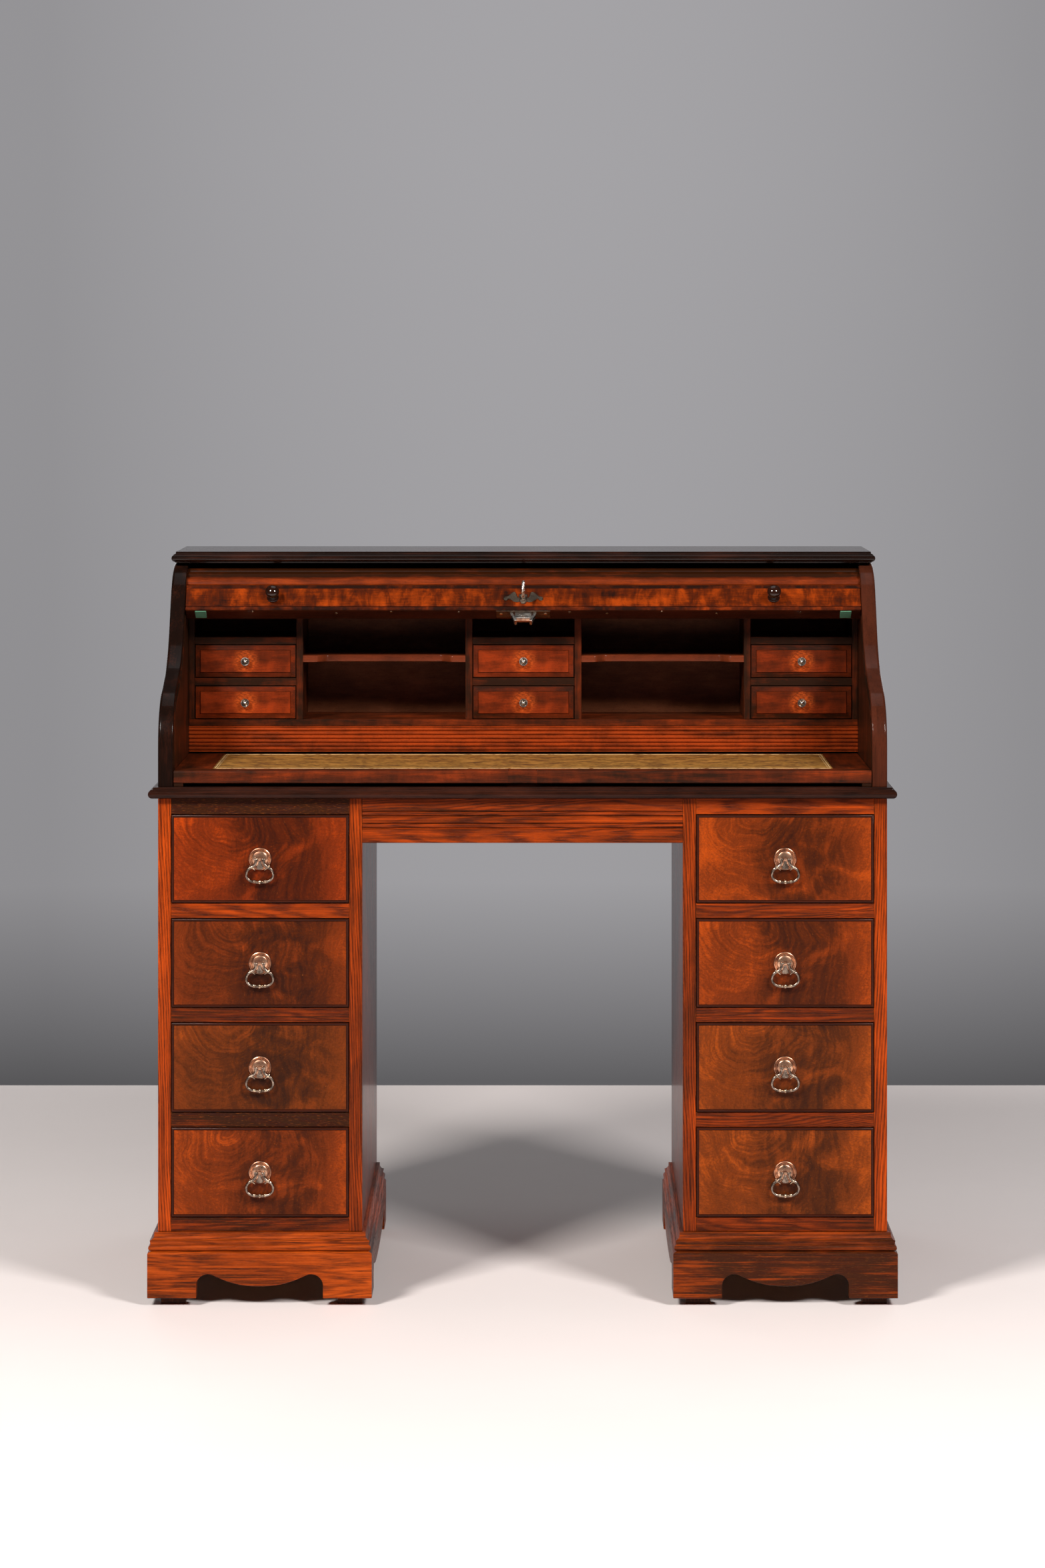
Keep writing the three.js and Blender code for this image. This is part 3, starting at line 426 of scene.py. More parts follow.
EBONY = dark_lacquer(
    "ebony_lacquer", (0.006, 0.002, 0.001), (0.03, 0.008, 0.004), (0.1, 0.2), coat=0.8)
BACK_BOARD = dark_lacquer(
    "back_board", (0.02, 0.008, 0.005), (0.06, 0.02, 0.01), (0.4, 0.6), source="object")
TRAY_WOOD = plain_wood("tray_wood")
COPPER = aged_metal("aged_copper", (0.88, 0.52, 0.34), (0.26, 0.12, 0.075), 0.22, 0.4)
GUNMETAL = aged_metal("gunmetal", (0.44, 0.34, 0.27), (0.08, 0.06, 0.048), 0.18, 0.34)
BRONZE = aged_metal("dark_bronze", (0.26, 0.2, 0.15), (0.06, 0.045, 0.035), 0.28, 0.5, 2.0)
GILT = aged_metal("rubbed_gilt", (0.7, 0.52, 0.36), (0.22, 0.15, 0.11), 0.16, 0.34)
NICKEL = aged_metal("worn_nickel", (0.95, 0.92, 0.87), (0.55, 0.52, 0.48), 0.16, 0.34)
LEATHER = tooled_leather("tooled_leather")
GOLD = gold_tooling("gold_tooling")
FELT = green_felt("green_felt")


# ---- mesh building -------------------------------------------


class Piece:
    """A mesh made of many shaped parts, each with its own wood direction and tone."""

    def __init__(self, name, *materials):
        self.name = name
        self.materials = materials
        self.bm = bmesh.new()
        self.wood = self.bm.verts.layers.float_vector.new("wood")
        self.tone = self.bm.verts.layers.float.new("tone")
        self.edge = self.bm.faces.layers.float.new("edge")
        self.random = random.Random(name)

    def dress(self, verts, faces, grain="x", tone=0.5, material=0, centre=None, wander=0.3):
        """Gives new geometry its material, tone and wood coordinates along its grain.

        The coordinates start at a random place, or at the centre when one is given."""
        axes = list(zip(*(v.co for v in verts)))
        low, high = Vector(map(min, axes)), Vector(map(max, axes))
        size = high - low
        middle = (low + high) / 2 if centre is None else centre
        along = "xyz".index(grain)
        others = sorted((k for k in range(3) if k != along), key=lambda k: -size[k])
        start = self.random.uniform(-400, 400) if centre is None else 0.0
        aside = self.random.uniform(-wander, wander) * size[others[0]] / MM
        flip = self.random.choice((-1, 1)) if centre is None else 1
        for v in verts:
            p = (v.co - middle) / MM
            v[self.wood] = (flip * p[along] + start, p[others[0]] + aside, p[others[1]])
            v[self.tone] = tone
        for f in faces:
            f.material_index = material

    def mesh(self, points, faces, **dress):
        """Adds vertices at desk points and faces between them."""
        verts = [self.bm.verts.new(at(*p)) for p in points]
        made = [self.bm.faces.new([verts[i] for i in face]) for face in faces]
        self.dress(verts, made, **dress)
        return made

    def board(self, x, d, z, bevel=0.7, **dress):
        """A sawn board with eased edges between pairs of x, d and z."""
        plan = rectangle(sorted(x), sorted(d))
        points = [(a, b, c) for c in sorted(z) for a, b in plan]
        faces = [(0, 3, 2, 1), (4, 5, 6, 7), (0, 1, 5, 4), (1, 2, 6, 5), (2, 3, 7, 6),
                 (3, 0, 4, 7)]
        edges = {e for f in self.mesh(points, faces) for e in f.edges}
        result = bmesh.ops.bevel(self.bm, geom=list(edges), offset=bevel * MM, segments=2,
                                 profile=0.5, affect="EDGES")
        whole = set(result["verts"]) | {v for f in result["faces"] for v in f.verts}
        flat = {f for v in whole for f in v.link_faces} - set(result["faces"])
        for f in result["faces"]:
            f[self.edge] = 1.0
        self.dress(list(whole), list(flat) + list(result["faces"]), **dress)

    def loft(self, rings, closed=True, **dress):
        """Joins rings of desk points that have the same count; closed caps both ends."""
        count = len(rings[0])
        last = (len(rings) - 1) * count
        faces = []
        for i in range(0, last, count):
            for k in range(count):
                a, b = i + k, i + (k + 1) % count
                faces.append((a, b, b + count, a + count))
        if closed:
            faces.append(tuple(range(count))[::-1])
            faces.append(tuple(range(last, last + count)))
        return self.mesh([p for ring in rings for p in ring], faces, **dress)

    def moulded_slab(self, x, d, profile, **dress):
        """A slab with a straight back, its other edges following profile, (inset, z) from below."""
        self.loft([[(u, v, z) for u, v in rectangle(x, (d[0], d[1] + inset), inset)]
                   for inset, z in profile], **dress)

    def across(self, outline, x, **dress):
        """Extrudes a side-view outline of (d, z) points over a span of x, with sharp ends."""
        faces = self.loft([[(u, d, z) for d, z in outline] for u in x], **dress)
        for f in faces[-2:]:
            for e in f.edges:
                e.smooth = False

    def lathe(self, profile, origin, axis, steps=40, **dress):
        """Turns a profile of (radius, height) about an axis through a desk point."""
        turn = Vector((0, 0, 1)).rotation_difference(Vector(axis)).to_matrix()
        angles = [2 * math.pi * k / steps for k in range(steps)]
        rings = []
        for radius, height in profile:
            turned = [turn @ Vector((radius * math.cos(a), radius * math.sin(a), height))
                      for a in angles]
            rings.append([tuple(o + c for o, c in zip(origin, p)) for p in turned])
        self.loft(rings, **dress)

    def tube(self, points, radius, steps=14, flatten=1.0, **dress):
        """A round bar along desk points in an upright plane; radius is a function of 0 to 1."""
        side = Vector((0, 1, 0))
        rings = []
        for i, p in enumerate(points):
            ahead = points[min(i + 1, len(points) - 1)] - points[max(i - 1, 0)]
            other = ahead.cross(side).normalized()
            r = radius(i / (len(points) - 1))
            rings.append([
                tuple(p + side * (r * flatten * math.sin(a)) + other * (r * math.cos(a)))
                for a in (2 * math.pi * k / steps for k in range(steps))])
        self.loft(rings, **dress)

    def done(self, body, replaces=(), sharp=55.0, weighted=True):
        """Turns the parts into one object that rides on a body."""
        bmesh.ops.recalc_face_normals(self.bm, faces=self.bm.faces)
        data = bpy.data.meshes.new(self.name)
        self.bm.to_mesh(data)
        self.bm.free()
        data.shade_smooth()
        data.set_sharp_from_angle(angle=math.radians(sharp))
        for material in self.materials:
            data.materials.append(material)
        made = bpy.data.objects.new(self.name, data)
        bpy.context.scene.collection.objects.link(made)
        if weighted:
            made.modifiers.new("weighted", "WEIGHTED_NORMAL").keep_sharp = True
        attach(made, body)
        if replaces:
            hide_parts(*replaces)
        return made


def smooth_path(points, steps):
    """Points along a Catmull-Rom curve through the given ones."""
    ends = [Vector(p) for p in points]
    ends = [2 * ends[0] - ends[1], *ends, 2 * ends[-1] - ends[-2]]
    path = []
    for i in range(1, len(ends) - 2):
        a, b, c, d = ends[i - 1:i + 3]
        for t in (k / steps for k in range(steps)):
            path.append(0.5 * (2 * b + (c - a) * t + (2 * a - 5 * b + 4 * c - d) * t * t
                               + (3 * b - a - 3 * c + d) * t ** 3))
    path.append(ends[-2])
    return path


# ---- plinths -------------------------------------------------

PLINTH_LOW = 12
PLINTH_BOARD = 18
PLINTH_MOULD = 29
PLINTH_TONES = {"front": {"left": 0.74, "right": 0.44}, "back": 0.4, "left": 0.5, "right": 0.5}
BRACKET_FOOT = 73
BRACKET_LOBE = 36
BRACKET_DROP = 18
FOOT_BLOCK = 37
FOOT_BLOCK_TOP = 46
FOOT_BLOCK_INSETS = (19, 15)


def bracket_line(width, low):
    """The foot of a plinth board from end to end: foot, lobe, sweep down, lobe, foot."""
    half = width / 2 - BRACKET_FOOT
    top = low + BRACKET_LOBE
    drop = low + BRACKET_DROP
    lobe = arc(half - 18, top - 18, 18, 0, 112, 12)
    sweep = []
    knots = (lobe[-1], (half - 41, top - 9), (half - 60, drop), (0, drop))
    if half > 130:
        knots = (lobe[-1], (half - 44, top - 10), (half - 78, drop + 1), (0, drop))
    for t in (i / 16 for i in range(1, 17)):
        weights = ((1 - t) ** 3, 3 * t * (1 - t) ** 2, 3 * t * t * (1 - t), t ** 3)
        sweep.append(tuple(sum(w * k[n] for w, k in zip(weights, knots)) for n in (0, 1)))
    right = [(half, low), *lobe, *sweep]
    return [(width / 2, low), *right, *mirrored(right[:-1]), (-width / 2, low)]


def plinth_side(piece, x, d, side, high, tone):
    """One mitred board of a plinth with its moulding; side is front, back, left or right."""
    frontal = side in ("front", "back")
    width = (x[1] - x[0]) if frontal else (d[1] - d[0])

    def mitred(along, depth, z):
        along = max(-width / 2 + depth, min(width / 2 - depth, along))
        return {
            "front": (middle_of(x) + along, d[0] + depth, z),
            "back": (middle_of(x) - along, d[1] - depth, z),
            "left": (x[0] + depth, middle_of(d) - along, z),
            "right": (x[1] - depth, middle_of(d) + along, z),
        }[side]

    mould = high - PLINTH_MOULD
    grain = "x" if frontal else "y"
    bottom = bracket_line(width, PLINTH_LOW)
    if side == "back":
        bottom = [bottom[0], bottom[-1]]
    outline = [(-width / 2, mould - 2), (width / 2, mould - 2), *bottom]
    rings = [[mitred(along, depth, z + (inset if z < mould - 3 else 0)) for along, z in outline]
             for depth, inset in ((0, 0.9), (0.9, 0), (PLINTH_BOARD, 0))]
    piece.loft(rings, grain=grain, tone=tone)
    profile = [(0, mould - 2), (0, mould - 1.6), (0.9, mould - 0.2), (3.0, mould + 0.6),
               *arc(6.2, mould + 6.9, 4.8, 265, 108, 12), *arc(1.5, high - 3.4, 8.3, -76, 0, 10),
               (9.8, high - 1.2), (10, high), (PLINTH_BOARD, high), (PLINTH_BOARD, mould - 2)]
    ends = [[mitred(sign * width, depth, z) for depth, z in profile] for sign in (-1, 1)]
    piece.loft(ends, grain=grain, tone=tone + 0.12)


def plinth(word):
    """Four mitred boards round four foot blocks."""
    x, d, z = spans(f"plinth_{word}")
    piece = Piece(f"plinth_{word}_boards", OAK_PLINTH, TRAY_WOOD)
    for side, tone in PLINTH_TONES.items():
        plinth_side(piece, x, d, side, z[1], tone[word] if side == "front" else tone)
    near, far = FOOT_BLOCK_INSETS[0], FOOT_BLOCK_INSETS[1] + FOOT_BLOCK
    for foot_x in (x[0] + near, x[1] - far):
        for foot_d in (d[0] + near, d[1] - far):
            piece.board((foot_x, foot_x + FOOT_BLOCK), (foot_d, foot_d + FOOT_BLOCK),
                        (0, FOOT_BLOCK_TOP), tone=0.1, grain="z")
    piece.done("case", [f"plinth_{word}"])


# ---- pedestals -----------------------------------------------

STILE_DEPTH = 20
PEDESTAL_PANEL = 16
PEDESTAL_BACK = 12
DRAWER_GAP = 0.8
RAIL_TONES = {"left": (0.08, 0.64, 0.46, 0.14, 0.48), "right": (0.66, 0.58, 0.5, 0.5, 0.46)}
STILE_TONES = {"left": (0.84, 0.58), "right": (0.78, 0.58)}


def pedestal(side, word):
    """Two stiles, five rails with dust boards behind them, two panels and a back."""
    x, d, z = spans(f"pedestal_{word}")
    inner, outer = sorted(map(abs, x))
    drawers = [spans(f"drawer_{word}_{row}") for row in (1, 2, 3, 4)]
    near, far = sorted(map(abs, drawers[0][0]))
    near, far = near - DRAWER_GAP, far + DRAWER_GAP
    piece = Piece(f"pedestal_{word}_case", OAK, TRAY_WOOD, OAK_PANEL)
    for tone, edges in zip(STILE_TONES[word], ((far, outer), (inner, near))):
        piece.board([side * edge for edge in edges], (0, STILE_DEPTH), z, grain="z", tone=tone)
    edges = [z[1], *[edge for _, _, (low, high) in drawers
                     for edge in (high + DRAWER_GAP, low - DRAWER_GAP)], z[0]]
    span = (side * (near + 0.1), side * (far - 0.1))
    for row, tone in enumerate(RAIL_TONES[word]):
        rail = (edges[2 * row + 1], edges[2 * row])
        piece.board(span, (0.5, STILE_DEPTH), rail, tone=tone, wander=3.0)
        piece.board(span, (STILE_DEPTH, d[1] - PEDESTAL_BACK - 2), rail, grain="y", material=1)
    for near, far, material in ((inner, inner + PEDESTAL_PANEL, 2),
                                (outer - PEDESTAL_PANEL, outer, 0)):
        piece.board((side * near, side * far), (STILE_DEPTH + 0.2, d[1] - 0.2), z, grain="z",
                    tone=0.45, material=material)
    piece.board((side * (inner + PEDESTAL_PANEL), side * (outer - PEDESTAL_PANEL)),
                (d[1] - PEDESTAL_BACK, d[1]), z, grain="z", tone=0.2)
    piece.done("case", [f"pedestal_{word}"])


# ---- moulded boards ------------------------------------------

APRON_REEDS = ((714.8, 720.3), (733.2, 738.2))


def apron():
    """The rail over the kneehole, with two reeds between grooves along its face."""
    x, d, z = spans("kneehole_apron")
    piece = Piece("apron_rail", OAK)
    face = []
    for low, high in APRON_REEDS:
        half = [(2.2, 0), (1.4, 2.2), (0.4, 2.4), (-0.7, 0.6)]
        face += [*[(depth, low - drop) for drop, depth in half], (-0.1, (low + high) / 2),
                 *[(depth, high + drop) for drop, depth in reversed(half)]]
    outline = [(0.9, z[0]), (0, z[0] + 0.9), *face, (0, z[1]), (d[1], z[1]), (d[1], z[0])]
    piece.across(outline, x, tone=0.57)
    piece.done("case", ["kneehole_apron"], sharp=30)


def moulded_board(name, title, material, tone, profile_of):
    """A board whose front and side edges follow the profile worked out from its two levels."""
    x, d, z = spans(name)
    piece = Piece(title, material)
    piece.moulded_slab(x, d, profile_of(*z), tone=tone)
    piece.done("case", [name], sharp=35)


def worktop_edge(low, high):
    return [*arc(7, low + 7, 7, 270, 122, 14), *arc(4.2, high - 0.8, 2.8, -92, 0, 8),
            (7.4, high - 0.4), (7.9, high)]


def top_board_edge(low, high):
    return [(7, low), (5.6, low), *arc(5.5, low + 7, 5.5, 265, 122, 10),
            *arc(3.5, high - 1.5, 3, -92, 0, 6), (6.5, high - 0.5), (7, high)]


# ---- the S curve and the cheeks ------------------------------

KNEE_START = 832.8
ROLL_TURNS = ((89.3, 1.2186, 1), (149.9, 0.6669, -1), (94.2, None, 1))
ROLL_RUNS = (60.4, 64.8, 89.7)
REAR_TURN_RADIUS = 67
REAR_DROP = 190
RIM_WIDTH = 3.5
TRACK_WIDTH = 15
CHEEK_SKIN = 8


def roll_curve(offset, foot, with_top=False):
    """The roll front's side view moved inwards by offset, as (d, z) points from its foot.

    The third turn goes on until the curve lies level; with_top adds the way down behind."""
    points = [(offset, foot), (offset, KNEE_START)]
    heading = 0.0

    def forward(length):
        d, z = points[-1]
        points.append((d + length * math.sin(heading), z + length * math.cos(heading)))

    turns = list(ROLL_TURNS)
    if with_top:
        turns.append((REAR_TURN_RADIUS, math.pi / 2, 1))
    for index, (radius, turn, sign) in enumerate(turns):
        turn = math.pi / 2 - heading if turn is None else turn
        steps = max(4, round(turn / 0.05))
        chord = 2 * (radius - sign * offset) * math.sin(turn / steps / 2)
        for _ in range(steps):
            heading += sign * turn / steps / 2
            forward(chord)
            heading += sign * turn / steps / 2
        if index < len(ROLL_RUNS) and (index < 2 or with_top):
            forward(ROLL_RUNS[index])
    if with_top:
        forward(REAR_DROP)
    return points


def cheek(side, word):
    """An S-curved side board with a rim, a track groove and a web on its inside."""
    x, (_, back), (foot, top) = spans(f"cheek_{word}")
    inner, outer = sorted(map(abs, x))
    mid = inner + CHEEK_SKIN
    piece = Piece(f"cheek_{word}_board", BLACK, RED_WOOD)

    def curve(offset):
        points = [(d, min(z, top)) for d, z in roll_curve(offset, foot)]
        return [*points, (back, points[-1][1])]

    def ring(u, outline):
        return [(side * u, d, z) for d, z in outline]

    def rounded(outside, inside, radius):
        toward = math.copysign(radius, inside - outside)
        return [(outside + toward * (1 - math.cos(a)), radius * (1 - math.sin(a)))
                for a in map(math.radians, (0, 22, 45, 67, 90))]

    # the right cheek is lighter than the left: partly wear and partly a painted sheen
    tone = 0.2 if side < 0 else 0.66
    rings = [ring(u, [*curve(offset), (back, foot)])
             for u, offset in [*rounded(outer, mid, 4.0), (mid, 0)]]
    piece.loft(rings, grain="z", tone=tone)
    # inside, the track is a groove between a rim along the curve and a web within it
    track = roll_curve(RIM_WIDTH, foot, True)
    track_end = (back, track[-1][1])
    rim = [ring(u, [*curve(offset), track_end, *reversed(track)])
           for u, offset in [*rounded(inner, mid, 2.6), (mid, 0)]]
    piece.loft(rim, grain="z", tone=tone)
    web = [*roll_curve(RIM_WIDTH + TRACK_WIDTH, foot, True), track_end, (back, foot)]
    piece.loft([ring(u, web) for u in (inner, mid)], grain="z", tone=0.15, material=1)
    piece.done("case", [f"cheek_{word}"], sharp=40)


# ---- gallery -------------------------------------------------

STILE_INNER = 515.5
DIVIDERS = ((80, 91), (345.5, 356))
GALLERY_FLOOR = 853.8
GALLERY_TOP = 1034
GALLERY_BACK = 8
SHELF_LEVELS = ((906.7, 918.5), (971.5, 982.9))
BAY_SHELF = (943, 954.2)
SHELF_LUG = 20
SHELF_RECESS = 20


def bay_shelf(piece, x, d):
    """A shelf set back between two lugs, with a rounded front edge."""
    x0, x1 = x
    front, back = d

    def line(inset):
        corner = x0 + SHELF_LUG - inset
        left = [(x0, front + inset), (corner, front + inset)]
        for t in (i / 12 for i in range(1, 13)):
            ease = t * t * (3 - 2 * t)
            left.append((corner + 24 * t,
                         front + inset + (SHELF_RECESS - 2) * math.sin(ease * math.pi / 2)))
        left.append((x0 + SHELF_LUG + 46, front + SHELF_RECESS + inset))
        return [*left, *[(x0 + x1 - u, v) for u, v in reversed(left)]]

    low, high = BAY_SHELF
    edge = ((1.4, low), (0.4, low + 0.6), (0, low + 1.6), (0, high - 2.4), (0.6, high - 1),
            (1.8, high))
    piece.loft([[(u, v, z) for u, v in [*line(inset), (x1, back), (x0, back)]]
                for inset, z in edge], tone=0.7, material=1)


def gallery():
    """Floor, top, back, uprights and shelves of the pigeonholes."""
    x, (front, back), z = spans("gallery")
    piece = Piece("gallery_case", RED_WOOD, SHELF_WOOD, BACK_WOOD)
    inside = back - GALLERY_BACK
    piece.board(x, (front + 0.4, inside), (z[0], GALLERY_FLOOR), tone=0.37)
    piece.board(x, (front, inside), (GALLERY_TOP, z[1]), tone=0.3)
    piece.board(x, (inside, back), z, material=2)
    for side, _ in SIDES:
        for near, far in ((STILE_INNER, x[1]), *DIVIDERS):
            piece.board((side * near, side * far), (front, inside), (GALLERY_FLOOR, GALLERY_TOP),
                        grain="z", tone=0.24)
        bay = sorted((side * DIVIDERS[0][1], side * DIVIDERS[1][0]))
        bay_shelf(piece, bay, (front, inside))
    for word in ("left", "centre", "right"):
        low, high = spans(f"small_drawer_{word}_upper")[0]
        for level in SHELF_LEVELS:
            piece.board((low - 0.5, high + 0.5), (front + 0.3, inside), level, tone=0.16)
    piece.done("case", ["gallery"])


def fascia(reeds=6):
    """The reeded board under the gallery."""
    x, (front, back), (low, high) = spans("reeded_fascia")
    piece = Piece("fascia_reeds", RED_WOOD)
    pitch = (high - low - 4) / reeds
    face = [(front + 2.2, low), (front + 2.2, low + 1.6)]
    for base in (low + 2 + i * pitch for i in range(reeds)):
        face.append((front + 2.4, base))
        face += [(front + 2.0 - 2.0 * math.sin(a), base + pitch * (0.5 - 0.42 * math.cos(a)))
                 for a in (math.radians(30 * k) for k in range(7))]
    face += [(front + 2.4, high - 2), (front + 0.6, high - 1.6), (front + 0.6, high)]
    piece.across([*face, (back, high), (back, low)], x, tone=0.67)
    piece.done("case", ["reeded_fascia"], sharp=50)


# ---- writing slide -------------------------------------------

SLIDE_UNDERSIDE = 781.3
MORTISE_HALF = 22
MORTISE_DEPTH = (3, 31)
SLIDE_TONE = 0.33
SKIN_SLOPE = 3
SKIN_DROP = 0.25
SKIN_GRAIN = 0.05


def writing_slide():
    """Boards round the leather, with a mortise for the catch behind the front edge."""
    x, (_, back), (low, top) = spans("writing_slide")
    skin_x, skin_d, skin_z = spans("leather_inlay")
    height = (SLIDE_UNDERSIDE, top)
    piece = Piece("writing_slide_boards", RED_WOOD, TRAY_WOOD)
    margin = skin_d[0] - 0.3
    base = SLIDE_UNDERSIDE
    nose = [(2.2, base), (0.7, base + 0.8), (0, base + 2.6), (0, top - 3.2), (0.5, top - 1.4),
            (1.6, top - 0.4), (3.2, top)]
    front = [(margin, top), (margin, base), *nose]
    piece.across(front, (x[0], -MORTISE_HALF), tone=SLIDE_TONE)
    piece.across(front, (MORTISE_HALF, x[1]), tone=SLIDE_TONE)
    mortise = (-MORTISE_HALF, MORTISE_HALF)
    bridge = [(MORTISE_DEPTH[0], top), (MORTISE_DEPTH[0], base),
              *[p for p in nose if p[0] < MORTISE_DEPTH[0]]]
    piece.across(bridge, mortise, tone=SLIDE_TONE)
    piece.board(mortise, (MORTISE_DEPTH[1], margin), height, bevel=0.2, tone=0.4)
    for side, _ in SIDES:
        piece.board((side * (skin_x[1] + 0.3), side * x[1]), (margin, back), height,
                    grain="y", bevel=0.25, tone=0.35)
        piece.board((side * (x[1] - 14), side * x[1]), (2, back), (low, base + 0.5),
                    grain="y", bevel=0.4, tone=0.1)
    bed = (-skin_x[1] - 0.2, skin_x[1] + 0.2)
    piece.board(bed, (margin, back), (base, skin_z[0] - 0.1), bevel=0.2, material=1)
    piece.board(bed, (skin_d[1] + 0.4, back), (skin_z[0] - 0.3, top), bevel=0.2, tone=0.25)
    piece.done("slide", ["writing_slide"], sharp=35)


def leather(columns=120, rows=32):
    """A hide with a faintly uneven top and edges that slope down, and its gilt lines."""
    x, d, (low, high) = spans("leather_inlay")
    piece = Piece("leather_skin", LEATHER)
    points = []
    rng = random.Random("leather")
    for j in range(rows + 1):
        for i in range(columns + 1):
            u = x[0] + (x[1] - x[0]) * i / columns
            v = d[0] + (d[1] - d[0]) * j / rows
            rim = min(u - x[0], x[1] - u, v - d[0], d[1] - v)
            lift = min(1.0, rim / SKIN_SLOPE) * SKIN_DROP
            lift += rng.random() * SKIN_GRAIN if rim > 0 else 0
            points.append((u, v, high - SKIN_DROP + lift))
    starts = [j * (columns + 1) + i for j in range(rows) for i in range(columns)]
    piece.mesh(points, [(a, a + 1, a + columns + 2, a + columns + 1) for a in starts])
    under = bmesh.ops.extrude_face_region(piece.bm, geom=list(piece.bm.faces))
    for v in under["geom"]:
        if isinstance(v, bmesh.types.BMVert):
            v.co.z = low * MM
    piece.done("slide", ["leather_inlay"], weighted=False)
    lines = Piece("leather_tooling", GOLD)
    for inset, width in ((2.6, 1.6), (6.4, 0.6)):
        (x0, d0), _, (x1, d1), _ = rectangle(x, d, inset)
        for span_x, span_d in (((x0, x1), (d0, d0 + width)), ((x0, x1), (d1 - width, d1)),
                               ((x0, x0 + width), (d0 + width, d1 - width)),
                               ((x1 - width, x1), (d0 + width, d1 - width))):
            lines.board(span_x, span_d, (high - 0.2, high + 0.3), bevel=0.08)
    lines.done("slide")


# ---- drawers and their pulls ---------------------------------

DRAWER_TONES = {"left": (0.46, 0.22, 0.24, 0.5), "right": (0.52, 0.48, 0.42, 0.46)}
DRAWER_VENEERS = {
    "left": (RED_VENEER, VENEER, GOLD_VENEER, VENEER),
    "right": (VENEER, VENEER, GOLD_VENEER, GOLD_VENEER),
}
FRONT_THICKNESS = 19
TRAY_SIDE = 9
TRAY_GAP = 14
LEAF_SHIFT = 540
ROSE_BELOW_TOP = 17
SMALL_TONES = {
    "left_upper": 0.46, "left_lower": 0.58, "centre_upper": 0.56, "centre_lower": 0.46,
    "right_upper": 0.42, "right_lower": 0.4,
}
SMALL_FRONT_THICKNESS = 14
SMALL_TRAY_SIDE = 6
SMALL_TRAY_GAP = 9


def front_rings(x, z, face, profile):
    """The rectangles of a drawer front for each (inset, depth behind the face) of a profile."""
    return [[(u, face + depth, v) for u, v in rectangle(x, z, inset)] for inset, depth in profile]


def tray(piece, x, d, z, side, material):
    """An open drawer box with dovetail-thin sides and a rebated floor."""
    for edges in ((x[0], x[0] + side), (x[1] - side, x[1])):
        piece.board(edges, d, z, grain="y", material=material, bevel=0.6)
    piece.board((x[0] + side, x[1] - side), (d[1] - side, d[1]), (z[0], z[1] - 3),
                material=material, bevel=0.6)
    piece.board((x[0] + side - 1, x[1] - side + 1), (d[0], d[1] - side + 1),
                (z[0] + 0.8, z[0] + 6), material=material, bevel=0.2)


def pedestal_drawer(word, row):
    """A veneered front in a lacquered cock bead, on a pale tray."""
    name = f"drawer_{word}_{row}"
    x, (face, end), z = spans(name)
    piece = Piece(f"{name}_box", DRAWER_VENEERS[word][row - 1], BEAD, TRAY_WOOD)
    middle = at(middle_of(x), face, middle_of(z))
    bead = [(0, 19), (0, 2.0), (0.3, 0.9), (1.0, 0.2), (1.9, 0), (2.8, 0.2), (3.5, 0.8),
            (3.9, 1.5), (4.1, 2.1), (4.1, 4)]
    piece.loft(front_rings(x, z, face, bead), closed=False, material=1)
    panel = [(3.9, 4.0), (3.9, 1.75), (4.6, 1.6), (4.61, 1.6)]
    piece.loft(front_rings(x, z, face, panel), centre=middle, tone=DRAWER_TONES[word][row - 1],
               wander=0.05)
    back = face + FRONT_THICKNESS
    piece.board((x[0] + 1, x[1] - 1), (face + 4, back), (z[0] + 1, z[1] - 1), material=2)
    level, half = middle_of(z) - 2, (z[1] - z[0] - TRAY_GAP) / 2
    tray(piece, (x[0] + 2, x[1] - 2), (back - 0.5, end), (level - half, level + half),
         TRAY_SIDE, 2)
    made = piece.done(name, [name], sharp=40)
    # each veneer is a different leaf of the same log
    shift = random.Random(name).uniform(-LEAF_SHIFT, LEAF_SHIFT)
    for item in made.data.attributes["wood"].data:
        u, v, w = item.vector
        item.vector = (u, v, w + shift)


def rose(word, row):
    """A stepped round plate with a tongue below the barrel that holds the bail."""
    name = f"rose_{word}_{row}"
    x, (_, face), (_, top) = spans(name)
    x, z = middle_of(x), top - ROSE_BELOW_TOP
    pivot = middle_of(spans(f"bail_{word}_{row}")[1])
    piece = Piece(f"{name}_plate", COPPER, GUNMETAL)
    profile = [(0, 0), (16.9, 0), (16.9, 0.9), (16.5, 1.6), (15.8, 1.9), (15.3, 1.4),
               (14.8, 1.1), (14.5, 1.8), (14.0, 2.5), (13.4, 2.6), (12.8, 2.0), (12.4, 1.7),
               (12.0, 2.3), (11.5, 3.0), (10.6, 3.5), (8, 4.2), (4, 4.7), (0.01, 4.9)]
    piece.lathe(profile, (x, face, z), (0, -1, 0), steps=56)
    barrel = [(0, 0), (2.3, 0), (2.9, 0.5), (2.9, 4.8), (2.3, 5.3), (0, 5.3)]
    piece.lathe(barrel, (x - 2.65, pivot, z), (1, 0, 0), steps=20)
    piece.board((x - 2.5, x + 2.5), (pivot, face - 3), (z - 2.0, z + 2.0), bevel=0.4)
    tongue = smooth_path([(-2.2, 0, 2.0), (-2.1, 0, -4.0), (-3.4, 0, -8.5), (-5.0, 0, -12.0),
                          (-5.2, 0, -13.4), (-3.0, 0, -15.2), (0, 0, -15.7)], 5)
    half = [(p.x, p.z) for p in tongue]
    outline = half + mirrored(half[:-1])
    piece.loft([[(x + u * shrink, face + depth, z - 7 + (v + 7) * shrink) for u, v in outline]
                for depth, shrink in ((-3.0, 1.0), (-5.3, 1.0), (-6.0, 0.94), (-6.3, 0.84))],
               material=1)
    piece.done(f"drawer_{word}_{row}", [name], sharp=45)


